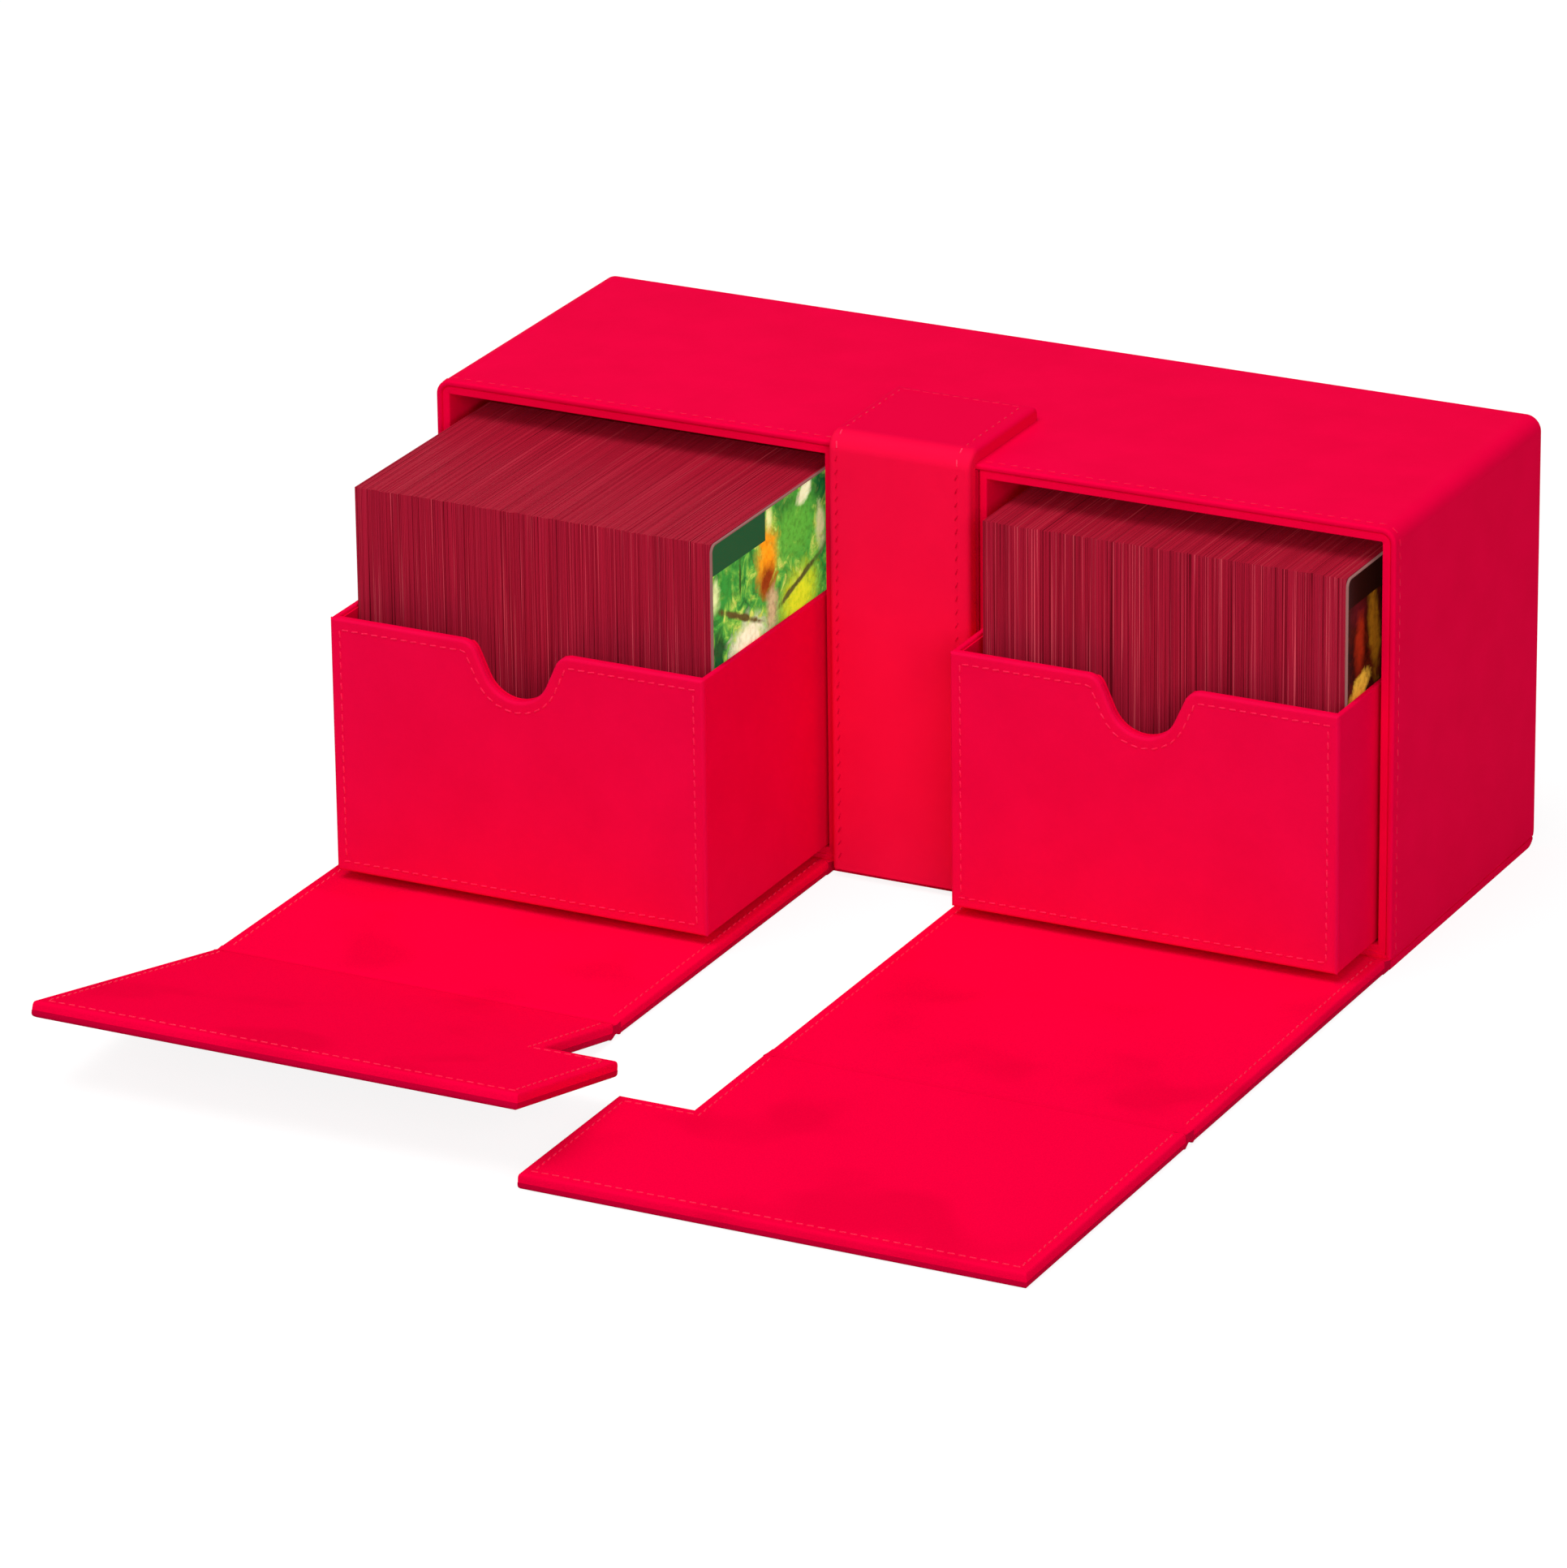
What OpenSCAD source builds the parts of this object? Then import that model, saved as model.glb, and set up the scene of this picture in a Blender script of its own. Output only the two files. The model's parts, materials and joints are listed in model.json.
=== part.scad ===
// Twin-bay playing card box. Two trays slide out of a case under fold-down fronts, and each
// front carries an L-shaped lid that folds over the top and meets its twin behind a centre band.
// Millimetres. The origin is the centre of the case's base, +X to the right, +Y to the back.

/* [Cards] */
// Width of a sleeved card, front to back
card_w = 66; // [50:1:90]
// Height of a sleeved card
card_h = 91; // [75:1:120]
// Sleeved cards in each tray
cards_per_tray = 100; // [40:4:140]
// Thickness of one sleeved card
card_t = 0.93; // [0.5:0.01:1.2]
// Cards that stand together as one packet
packet_cards = 2; // [2:1:10]
// How far the packets stand out of line at their front edges
packet_ripple = 0.5; // [0:0.1:1]
// How far some packets stand above the others
packet_lift = 0.3; // [0:0.1:1]
// Thickness of the picture card that faces the right-hand end
face_card_t = 0.6; // [0.3:0.1:1.2]
// Radius of the picture card's corners, where the sleeved cards are square
face_corner = 2; // [1:0.5:6]

/* [Trays] */
// Height of a tray
tray_h = 63.5; // [40:0.5:72]
// Thickness of the skin round a tray's sides and back
tray_skin = 0.4; // [0.3:0.1:1]
// Thickness of a tray's board walls and floor
tray_board = 1.1; // [0.8:0.1:2.5]
// Thickness of the lining inside a tray
tray_lining_t = 0.4; // [0.3:0.1:1]
// Thickness of the stitched facing on a tray's front
facing_t = 1; // [0.6:0.1:2]
// Room for a finger in front of the cards
finger_room = 7.2; // [5:0.1:15]
// Room behind the cards
back_room = 3.9; // [1:0.1:12]
// Room at each end of the row of cards
deck_slack = 0.3; // [0.2:0.1:3]
// Width of the thumb notch between the middles of its round shoulders
notch_w = 27.8; // [26.6:0.1:40]
// Depth of the thumb notch
notch_depth = 11.7; // [9:0.1:20]
// Radius at the bottom of the thumb notch
notch_r = 7.4; // [5:0.1:7.8]
// Radius of the thumb notch's shoulders
shoulder_r = 5.3; // [3:0.1:5.4]
// How far the left tray is pulled out
tray_out_left = 62; // [0:1:80]
// How far the right tray is pulled out
tray_out_right = 21; // [0:1:80]

/* [Case] */
// Thickness of the case's outer skin
case_skin = 0.6; // [0.4:0.1:1.2]
// Thickness of the case's boards
case_board = 1.4; // [1:0.1:3]
// Thickness of the sleeve that lines each bay
sleeve_t = 1.5; // [1:0.1:3]
// Thickness of the base panel under the case
base_t = 2; // [1.4:0.1:4]
// Width of the pillar between the two bays
pillar_w = 37.8; // [30:0.1:60]
// Radius of the case's long top edges
case_corner = 5; // [3:0.5:8]
// Radius of the bottom back edge, shared by the case and the base panel
back_corner = 4; // [1:0.5:4]

/* [Fronts and lids] */
// Thickness of the outer skin on a front or lid
panel_skin = 0.6; // [0.4:0.1:1.2]
// Thickness of the board inside a front or lid
panel_board = 2; // [1.6:0.1:3]
// Thickness of the lining on the inner side of a front or lid
panel_lining = 0.6; // [0.4:0.1:1.2]
// Thickness of the soft hinges, which are skin and lining glued together
hinge_t = 1.2; // [0.8:0.1:1.6]
// Length of a lid, from the fold to its free edge
lid_len = 82.5; // [60:0.5:90]
// Stretch of soft hinge beyond the pivot at the foot of a front
foot_room = 0.6; // [0.4:0.1:1]
// Stretch of soft hinge before the fold, on the front's side
fold_room = 3.7; // [3.4:0.1:6]
// Stretch of soft hinge after the fold, on the lid's side
lid_start = 0.5; // [0.3:0.1:2]
// Angle of the left lid above flat
lid_angle_left = 12.5; // [0:0.5:60]
// Angle of the right lid above flat
lid_angle_right = 0; // [0:0.5:60]

/* [Centre band] */
// How far the band's sides stand in from the pillar's
band_margin = 0.65; // [0:0.05:4]
// Length of the band on top of the case
band_end = 31; // [20:0.5:60]
// Thickness of the band's skin
band_skin = 0.6; // [0.4:0.1:1.2]
// Outer radius of the band's bend over the top edge
band_bend_r = 4.5; // [2:0.1:8]
// Radius of the band's end
band_end_r = 2; // [1:0.1:2.6]

/* [Magnets] */
// Diameter of a magnet
magnet_d = 8; // [5:0.5:12]
// Thickness of a magnet
magnet_t = 1.2; // [0.8:0.1:1.3]
// Distance from a lid's free edge to its magnets
magnet_edge = 10; // [7:0.5:20]
// Distance from the case's side to the outer magnets
magnet_outer = 22; // [12:1:40]
// Distance from the case's middle to the inner magnets
magnet_inner = 34; // [25:1:50]

/* [Clearances] */
// Gap between a tray and each side of its bay
tray_side_gap = 1.05; // [0.3:0.05:2]
// Gap under a tray
tray_under_gap = 0.3; // [0.2:0.05:1]
// Gap between the cards and the roof of a bay
head_room = 5.5; // [2:0.1:12]
// How far a tray that is home stands back from the case's front
tray_recess = 0.5; // [0.2:0.1:3]
// Gap behind a tray that is home
tray_back_gap = 0.5; // [0.3:0.1:3]
// How far a sleeve's edge stands back from the case's front
sleeve_recess = 0.3; // [0:0.1:1]
// Gap between the case and a closed front or lid
closing_gap = 0.2; // [0.1:0.1:0.6]
// Gap between the band and each front
band_side_gap = 0.95; // [0.4:0.05:2]
// Gap between the band's end and the closed lids
band_end_gap = 0.7; // [0.3:0.1:2]
// Gap between the wings of the two lids
wing_gap = 0.7; // [0.3:0.1:2]

/* [Hidden] */
$fn = 64;
left = -1;
right = 1;
cut = 1; // how far a cutter runs past the face that it cuts
arc_steps = 12; // straight steps in each arc of a thumb notch
bend_steps = 2; // straight steps round a bent hinge

// The row of cards
packets = floor(cards_per_tray / packet_cards);
packet_t = packet_cards * card_t;
deck_len = packets * packet_t + face_card_t;

// A tray, from the cards outwards
tray_wall = tray_skin + tray_board + tray_lining_t;
tray_front_wall = facing_t + tray_board + tray_lining_t;
tray_w = deck_len + 2 * deck_slack + 2 * tray_wall;
deck_y = tray_front_wall + finger_room;
tray_d = deck_y + card_w + back_room + tray_wall;
lining_top = tray_h - tray_skin;

// The case, from the trays outwards
case_wall = case_skin + case_board;
bay_w = tray_w + 2 * tray_side_gap;
bay_h = tray_under_gap + tray_wall + card_h + packet_lift + head_room;
bay_d = tray_recess + tray_d + tray_back_gap;
case_w = pillar_w + 2 * (2 * sleeve_t + bay_w + case_wall);
case_d = bay_d + sleeve_t + case_wall;
case_h = base_t + 2 * case_wall + 2 * sleeve_t + bay_h;
front_y = -case_d / 2;
back_y = case_d / 2;
side_x = case_w / 2;
inner_x = side_x - case_wall;
inner_low = base_t + case_wall;
back_r = min(back_corner, inner_low);
inner_high = case_h - case_wall;
inner_back = back_y - case_wall;
bay_x = pillar_w / 2 + sleeve_t + bay_w / 2;
tray_z = inner_low + sleeve_t + tray_under_gap;

// Fronts and lids: the pivots lie in the middle of the soft hinges
panel_t = panel_skin + panel_board + panel_lining;
stand_off = panel_t + closing_gap;
pivot_z = hinge_t / 2;
pivot_out = stand_off - pivot_z;
foot_y = front_y - pivot_out;
front_len = case_h + stand_off - 2 * pivot_z;
fold_y = foot_y - front_len;
band_w = pillar_w - 2 * band_margin;
panel_in = band_w / 2 + band_side_gap;
wing_start = pivot_out + band_end + band_end_gap;
wing_in = wing_gap / 2;

// The band is as thick as the closed fronts that it lies between
band_t = stand_off;

// Magnets meet when the lids are closed
magnet_run = lid_len - magnet_edge;
magnet_case_y = front_y + magnet_run - pivot_out;
magnets_x = [magnet_inner, side_x - magnet_outer];

skin_red = "#e8043a";
lining_red = "#f5033c";
board_grey = "#8d8a84";
sleeve_red = "#dc0a36";
card_red = "#971d30";
card_face = "#5f8f3a";
steel = "#b9bcc0";

function tray_out(side) = side < 0 ? tray_out_left : tray_out_right;
function lid_tilt(side) = side < 0 ? lid_angle_left : lid_angle_right;

// Points along an arc about centre
function arc(centre, r, from, to) =
    [for (i = [0 : arc_steps]) let (a = from + (to - from) * i / arc_steps)
        centre + r * [cos(a), sin(a)]];

// ---- Helpers ----

// An outline drawn as (x, z), run from y0 to y1
module along_y(y0, y1) {
    translate([0, y1, 0]) rotate([90, 0, 0]) linear_extrude(y1 - y0) children();
}

// An outline drawn as (y, z), run from x0 to x1
module along_x(x0, x1) {
    translate([x0, 0, 0]) rotate([90, 0, 90]) linear_extrude(x1 - x0) children();
}

// A block given by its low and high corners
module block(low, high) {
    translate(low) cube(high - low);
}

// Takes a square corner off round; sx and sy point from the corner into the material
module corner_cut(at, r, sx, sy) {
    translate(at) scale([sx, sy]) difference() {
        translate([-cut, -cut]) square(r + cut);
        translate([r, r]) circle(r);
    }
}

// Draws a right-hand piece on either side
module on_side(side) {
    mirror([side < 0 ? 1 : 0, 0, 0]) children();
}

// ---- Case ----

// The case's outline from the front, moved inwards by inset, with round top corners
module case_outline(inset) {
    r = case_corner - inset;
    difference() {
        translate([-side_x + inset, base_t + inset])
            square([case_w - 2 * inset, case_h - base_t - 2 * inset]);
        corner_cut([-side_x + inset, case_h - inset], r, 1, -1);
        corner_cut([side_x - inset, case_h - inset], r, -1, -1);
    }
}

// Takes the bottom back edge off round, moved inwards by inset
module back_cut(inset) {
    along_x(-side_x - cut, side_x + cut)
        corner_cut([back_y - inset, inset], back_r - inset, -1, 1);
}

// Board in the skin that runs on into the fronts, glued under the case
module base_panel() {
    color(skin_red) difference() {
        block([-side_x, front_y, 0], [side_x, back_y, base_t]);
        back_cut(0);
    }
}

// One board wrapped round the bays, with pockets for the magnets in its top
module case_shell() {
    color(board_grey) difference() {
        along_y(front_y + case_skin, back_y - case_skin) difference() {
            case_outline(case_skin);
            case_outline(case_wall);
        }
        magnets(magnet_case_y, case_h - case_skin - magnet_t, magnet_t + cut, [left, right]);
        back_cut(case_skin);
    }
}

// Skin over the top, sides, bottom and back, turned in over the shell's front edge
module case_cover() {
    color(skin_red) difference() {
        along_y(front_y, back_y) case_outline(0);
        difference() {
            along_y(front_y + case_skin, back_y - case_skin) case_outline(case_skin);
            back_cut(case_skin);
        }
        along_y(front_y - cut, front_y + case_wall) case_outline(case_wall);
        back_cut(0);
    }
}

module back_board() {
    color(board_grey) along_y(inner_back, back_y - case_skin) case_outline(case_wall);
}

// A sleeve's outline from the front, with the corner by the case's top edge round
module sleeve_outline(inset) {
    difference() {
        translate([pillar_w / 2 + inset, inner_low + inset])
            square([inner_x - pillar_w / 2 - 2 * inset, inner_high - inner_low - 2 * inset]);
        if (inset == 0) corner_cut([inner_x, inner_high], case_corner - case_wall, -1, -1);
    }
}

// Open-fronted board sleeve that lines one bay
module sleeve(side) {
    color(sleeve_red) on_side(side) difference() {
        along_y(front_y + sleeve_recess, inner_back) sleeve_outline(0);
        along_y(front_y - cut, inner_back - sleeve_t) sleeve_outline(sleeve_t);
    }
}

// Folded board between the sleeves: a front wall and two side walls, open behind
module centre_pillar() {
    half = pillar_w / 2;
    color(skin_red) difference() {
        block([-half, front_y, inner_low], [half, inner_back, inner_high]);
        block([case_board - half, front_y + case_board, inner_low - cut],
              [half - case_board, inner_back + cut, inner_high + cut]);
    }
}

// ---- Centre band ----

// The band from the side: up the pillar, round the top edge and back along the top
module band_outline(inset) {
    out_y = front_y - band_t + inset;
    top_z = case_h + band_t - inset;
    end_y = front_y + band_end - inset;
    difference() {
        translate([out_y, base_t + inset]) square([end_y - out_y, top_z - base_t - inset]);
        translate([front_y, base_t]) square([case_d, case_h - base_t]);
        corner_cut([out_y, top_z], band_bend_r - inset, 1, -1);
        corner_cut([end_y, top_z], band_end_r - inset, -1, -1);
    }
}

module band_core() {
    half = band_w / 2 - band_skin;
    color(board_grey) along_x(-half, half) band_outline(band_skin);
}

module band_cover() {
    half = band_w / 2;
    color(skin_red) difference() {
        along_x(-half, half) band_outline(0);
        along_x(band_skin - half, half - band_skin) band_outline(band_skin);
    }
}

// ---- Magnets ----

// Discs, or the pockets for them, in a row across each of the named sides
module magnets(y, z, h, sides) {
    for (side = sides, x = magnets_x) translate([side * x, y, z]) cylinder(d = magnet_d, h = h);
}

module case_magnets() {
    color(steel) magnets(magnet_case_y, case_h - case_skin - magnet_t, magnet_t, [left, right]);
}

// ---- Fronts ----

// A front's outline on the table, moved inwards by inset
module front_outline(inset) {
    translate([panel_in + inset, fold_y + fold_room + inset])
        square([side_x - panel_in, front_len - fold_room - foot_room] - 2 * inset * [1, 1]);
}

// Soft hinge from the base panel to the foot of a front
module foot_hinge(side) {
    color(skin_red) on_side(side)
        block([panel_in, foot_y - foot_room, 0], [side_x, front_y, hinge_t]);
}

// A panel's skin: a shallow pan that holds the board and the lining
module panel_cover() {
    color(skin_red) difference() {
        linear_extrude(panel_t) children(0);
        translate([0, 0, panel_skin]) linear_extrude(panel_t) children(1);
    }
}

module front_cover(side) {
    on_side(side) panel_cover() {
        front_outline(0);
        front_outline(panel_skin);
    }
}

module front_board(side) {
    color(board_grey) on_side(side) translate([0, 0, panel_skin])
        linear_extrude(panel_board) front_outline(panel_skin);
}

module front_lining(side) {
    color(lining_red) on_side(side) translate([0, 0, panel_skin + panel_board])
        linear_extrude(panel_lining) front_outline(panel_skin);
}

// ---- Lids ----

// Puts a lid that is drawn flat at its tilt about the fold
module at_fold(side) {
    on_side(side) translate([0, fold_y, pivot_z]) rotate([-lid_tilt(side), 0, 0])
        translate([0, -fold_y, -pivot_z]) children();
}

// A point of a lid from the side: run past the fold, and rise above the lid's underside
function on_lid(run, rise, tilt) = [
    fold_y - run * cos(tilt) + (rise - pivot_z) * sin(tilt),
    pivot_z + run * sin(tilt) + (rise - pivot_z) * cos(tilt)
];

// Soft hinge from a front to its lid, bent round the pivot where the lid is tilted
module fold_hinge(side) {
    tilt = lid_tilt(side);
    bend = tilt > 0 ? [for (i = [0 : bend_steps]) on_lid(0, 0, tilt * i / bend_steps)] : [];
    color(skin_red) on_side(side) along_x(panel_in, side_x) polygon(concat(
        [[fold_y + fold_room, 0]],
        bend,
        [on_lid(lid_start, 0, tilt), on_lid(lid_start, hinge_t, tilt)],
        tilt > 0 ? [[fold_y + pivot_z * tan(tilt / 2), hinge_t]] : [],
        [[fold_y + fold_room, hinge_t]]
    ));
}

// A lid's outline, lying flat: a wide panel, and a wing that reaches to the middle
module lid_outline(inset) {
    free_y = fold_y - lid_len + inset;
    main_x = panel_in + inset;
    wing_x = wing_in + inset;
    translate([main_x, free_y])
        square([side_x - inset - main_x, fold_y - lid_start - inset - free_y]);
    translate([wing_x, free_y])
        square([main_x - wing_x, fold_y - wing_start - inset - free_y]);
}

module lid_cover(side) {
    at_fold(side) panel_cover() {
        lid_outline(0);
        lid_outline(panel_skin);
    }
}

// Board of a lid, with pockets for its magnets under the lining
module lid_board(side) {
    color(board_grey) at_fold(side) difference() {
        translate([0, 0, panel_skin]) linear_extrude(panel_board) lid_outline(panel_skin);
        magnets(fold_y - magnet_run, panel_t - panel_lining - magnet_t, magnet_t + cut, [right]);
    }
}

module lid_lining(side) {
    color(lining_red) at_fold(side) translate([0, 0, panel_skin + panel_board])
        linear_extrude(panel_lining) lid_outline(panel_skin);
}

module lid_magnets(side) {
    color(steel) at_fold(side)
        magnets(fold_y - magnet_run, panel_t - panel_lining - magnet_t, magnet_t, [right]);
}

// ---- Trays ----

// Puts a piece drawn about a tray's foot at its front where that tray stands
module in_tray(side) {
    translate([side * bay_x, front_y - tray_out(side), tray_z]) children();
}

// The thumb notch from the front, its middle at the tray's rim. Its sides are the lines that
// touch the round bottom on one side and a round shoulder on the other.
module notch_outline() {
    shoulder = [notch_w / 2, -shoulder_r];
    bottom = [0, notch_r - notch_depth];
    reach = shoulder - bottom;
    turn = atan2(reach[1], reach[0]) - acos((notch_r + shoulder_r) / norm(reach));
    polygon(concat(
        [[shoulder[0], cut]],
        arc(shoulder, shoulder_r, 90, 180 + turn),
        arc(bottom, notch_r, turn, -180 - turn),
        arc([-shoulder[0], shoulder[1]], shoulder_r, -turn, 90),
        [[-shoulder[0], cut]]
    ));
}

module notch_cut() {
    along_y(-cut, tray_front_wall + cut) translate([0, tray_h]) notch_outline();
}

// An upright box of a tray's plan, moved inwards by inset behind its facing
module tray_block(inset, front, low, high) {
    half = tray_w / 2 - inset;
    block([-half, front, low], [half, tray_d - inset, high]);
}

// Board tray: a floor and four walls
module tray_shell(side) {
    color(board_grey) in_tray(side) difference() {
        tray_block(tray_skin, facing_t, tray_skin, lining_top);
        tray_block(tray_skin + tray_board, facing_t + tray_board, tray_skin + tray_board, tray_h);
        notch_cut();
    }
}

// Skin under the tray, round its sides and back, and turned in over the rim
module tray_wrap(side) {
    color(skin_red) in_tray(side) difference() {
        tray_block(0, facing_t, 0, tray_h);
        tray_block(tray_skin, facing_t - cut, tray_skin, lining_top);
        tray_block(tray_wall, tray_front_wall, tray_skin, tray_h + cut);
        notch_cut();
    }
}

// Stitched panel on the tray's front
module tray_facing(side) {
    color(skin_red) in_tray(side) difference() {
        block([-tray_w / 2, 0, 0], [tray_w / 2, facing_t, tray_h]);
        notch_cut();
    }
}

// Soft lining on the floor and the walls
module tray_lining(side) {
    color(lining_red) in_tray(side) difference() {
        tray_block(tray_skin + tray_board, facing_t + tray_board, tray_skin + tray_board, lining_top);
        tray_block(tray_wall, tray_front_wall, tray_wall, tray_h);
        notch_cut();
    }
}

// ---- Cards ----

// A card from its face, standing on the tray's lining, with its front edge at y
module card_outline(y, high) {
    translate([y, tray_wall]) square([card_w, high]);
}

// How far packet i stands back, and how far it stands up
function packet_back(i) = packet_ripple * (1 + sin(137 * i)) / 2;
function packet_up(i) = packet_lift * (1 + sin(101 * i)) / 2;

// The row of sleeved cards, in packets a little out of line
module card_deck(side) {
    start = -deck_len / 2;
    color(card_red) in_tray(side) for (i = [0 : packets - 1])
        along_x(start + i * packet_t, start + (i + 1) * packet_t)
            card_outline(deck_y + packet_back(i), card_h + packet_up(i));
}

// The last card, whose picture shows at the right-hand end
module face_card(side) {
    low = tray_wall;
    high = tray_wall + card_h;
    back = deck_y + card_w;
    color(card_face) in_tray(side) along_x(deck_len / 2 - face_card_t, deck_len / 2) difference() {
        card_outline(deck_y, card_h);
        corner_cut([deck_y, low], face_corner, 1, 1);
        corner_cut([back, low], face_corner, -1, 1);
        corner_cut([deck_y, high], face_corner, 1, -1);
        corner_cut([back, high], face_corner, -1, -1);
    }
}

base_panel();
case_shell();
case_cover();
back_board();
sleeve(left);  // sleeve_left
sleeve(right);  // sleeve_right
centre_pillar();
band_core();
band_cover();
case_magnets();
foot_hinge(left);  // foot_hinge_left
foot_hinge(right);  // foot_hinge_right
front_cover(left);  // front_cover_left
front_board(left);  // front_board_left
front_lining(left);  // front_lining_left
fold_hinge(left);  // fold_hinge_left
front_cover(right);  // front_cover_right
front_board(right);  // front_board_right
front_lining(right);  // front_lining_right
fold_hinge(right);  // fold_hinge_right
lid_cover(left);  // lid_cover_left
lid_board(left);  // lid_board_left
lid_lining(left);  // lid_lining_left
lid_magnets(left);  // lid_magnets_left
lid_cover(right);  // lid_cover_right
lid_board(right);  // lid_board_right
lid_lining(right);  // lid_lining_right
lid_magnets(right);  // lid_magnets_right
tray_shell(left);  // tray_shell_left
tray_wrap(left);  // tray_wrap_left
tray_facing(left);  // tray_facing_left
tray_lining(left);  // tray_lining_left
card_deck(left);  // card_deck_left
face_card(left);  // face_card_left
tray_shell(right);  // tray_shell_right
tray_wrap(right);  // tray_wrap_right
tray_facing(right);  // tray_facing_right
tray_lining(right);  // tray_lining_right
card_deck(right);  // card_deck_right
face_card(right);  // face_card_right
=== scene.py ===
# %% [markdown]
# # A playing card box with two sliding trays
# The box is built like a small suitcase: greyboard panels give it its strength, red leatherette
# covers what the hand touches, and a suede-like lining covers what touches the cards. This lesson
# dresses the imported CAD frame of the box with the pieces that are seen. Each takes its place and
# main sizes from the frame, with small corrections where the photograph shows a form a little
# thicker, longer or deeper, and rides on the body that it belongs to.

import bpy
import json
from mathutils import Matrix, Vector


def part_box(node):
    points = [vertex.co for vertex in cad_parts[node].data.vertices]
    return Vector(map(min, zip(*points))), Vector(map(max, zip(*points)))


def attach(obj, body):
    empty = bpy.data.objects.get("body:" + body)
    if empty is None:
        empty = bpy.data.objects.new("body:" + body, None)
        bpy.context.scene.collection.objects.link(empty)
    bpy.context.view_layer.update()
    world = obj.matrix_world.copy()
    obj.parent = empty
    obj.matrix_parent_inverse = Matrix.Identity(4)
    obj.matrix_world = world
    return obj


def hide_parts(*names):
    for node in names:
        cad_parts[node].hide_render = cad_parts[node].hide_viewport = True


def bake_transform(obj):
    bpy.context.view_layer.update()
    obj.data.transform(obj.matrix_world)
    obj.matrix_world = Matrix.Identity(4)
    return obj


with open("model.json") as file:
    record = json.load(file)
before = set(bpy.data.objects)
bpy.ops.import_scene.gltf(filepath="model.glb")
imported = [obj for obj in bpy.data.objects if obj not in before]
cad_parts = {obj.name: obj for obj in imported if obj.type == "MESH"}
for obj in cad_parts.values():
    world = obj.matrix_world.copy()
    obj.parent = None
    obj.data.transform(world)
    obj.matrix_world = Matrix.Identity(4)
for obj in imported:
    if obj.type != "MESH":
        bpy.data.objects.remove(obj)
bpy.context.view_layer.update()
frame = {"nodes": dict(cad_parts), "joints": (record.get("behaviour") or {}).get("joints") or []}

# %% [markdown]
# ## Units, sides and the sizes that come from the frame
# The frame is in metres and the box is made in millimetres, so nearly every helper below takes
# millimetres. The box is built alike on both sides, so a side is only a sign: -1 on the left and 1
# on the right. Most places and sizes are read from the bounds of the CAD nodes. What bounds don't
# tell, or the photograph corrects, is written in millimetres beside the piece that has it.

# %% Units, sides and sizes
import json
import math
import random

import bmesh
import bpy
from mathutils import Matrix, Vector

MM = 0.001
SIDES = {"left": -1, "right": 1}


def place_of(name):
    """Lowest and highest corner of a CAD node, in millimetres."""
    return [[round(v / MM, 3) for v in corner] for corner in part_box(name)]


case_low, case_high = place_of("case_cover")
base_top = place_of("base_panel")[1][2]
band_low, band_high = place_of("band_cover")
sleeve_low, sleeve_high = place_of("sleeve_right")
print("case", case_low, case_high)
print("band", band_low, band_high)

# %% [markdown]
# ## The modelling tools
# An operator acts on whatever is selected, and loading leaves the CAD nodes selected. So each
# piece starts from `begin`, which drops every selection. `block` and `drawn` make the two kinds of
# start: a cube at its place, and an outline drawn point by point and filled, as with a pen. In
# edit mode, `choose` picks corners, edges or faces by where they are. Selecting by place keeps
# working when a size changes, where a list of face numbers would not.

# %% Starting a piece
def begin():
    """Leaves edit mode and drops every selection."""
    if bpy.context.mode != "OBJECT":
        bpy.ops.object.mode_set(mode="OBJECT")
    bpy.ops.object.select_all(action="DESELECT")


def block(name, low, high):
    """A cube stretched between two corners, open for editing."""
    begin()
    middle = [(a + b) / 2 * MM for a, b in zip(low, high)]
    bpy.ops.mesh.primitive_cube_add(size=1, location=middle)
    bpy.ops.transform.resize(value=[(b - a) * MM for a, b in zip(low, high)])
    bpy.ops.object.transform_apply(location=True, rotation=True, scale=True)
    bpy.context.object.name = name
    bpy.ops.object.mode_set(mode="EDIT")
    return bpy.context.object


def drawn(name, points):
    """A flat face drawn from point to point, open for editing."""
    begin()
    bpy.ops.mesh.primitive_plane_add(size=1)
    piece = bpy.context.object
    piece.name = name
    bpy.ops.object.mode_set(mode="EDIT")
    bpy.ops.mesh.select_mode(type="VERT")
    bpy.ops.mesh.select_all(action="SELECT")
    bpy.ops.mesh.merge(type="CENTER")
    bpy.ops.transform.translate(value=Vector(points[0]) * MM)
    for before, after in zip(points, points[1:]):
        step = (Vector(after) - Vector(before)) * MM
        bpy.ops.mesh.extrude_region_move(TRANSFORM_OT_translate={"value": step})
    bpy.ops.mesh.select_all(action="SELECT")
    bpy.ops.mesh.edge_face_add()
    return piece


# %% Editing a piece
def choose(kind, test):
    """Selects the parts of the open piece whose middle, in millimetres, passes the test."""
    bpy.ops.mesh.select_mode(type=kind)
    bpy.ops.mesh.select_all(action="DESELECT")
    form = bmesh.from_edit_mesh(bpy.context.object.data)
    parts = {"VERT": form.verts, "EDGE": form.edges, "FACE": form.faces}[kind]
    found = 0
    for part in parts:
        corners = [part.co] if kind == "VERT" else [v.co for v in part.verts]
        middle = sum(corners, Vector()) / len(corners) / MM
        along = (corners[-1] - corners[0]).normalized() if kind == "EDGE" else None
        facing = part.normal if kind == "FACE" else along
        if test(middle, facing):
            part.select_set(True)
            found += 1
    bmesh.update_edit_mesh(bpy.context.object.data)
    if not found:
        raise ValueError(f"nothing found to work on in {bpy.context.object.name}")


def near(a, b, room=0.02):
    """Whether two places, in millimetres, are the same but for rounding."""
    return abs(a - b) < room


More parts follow.
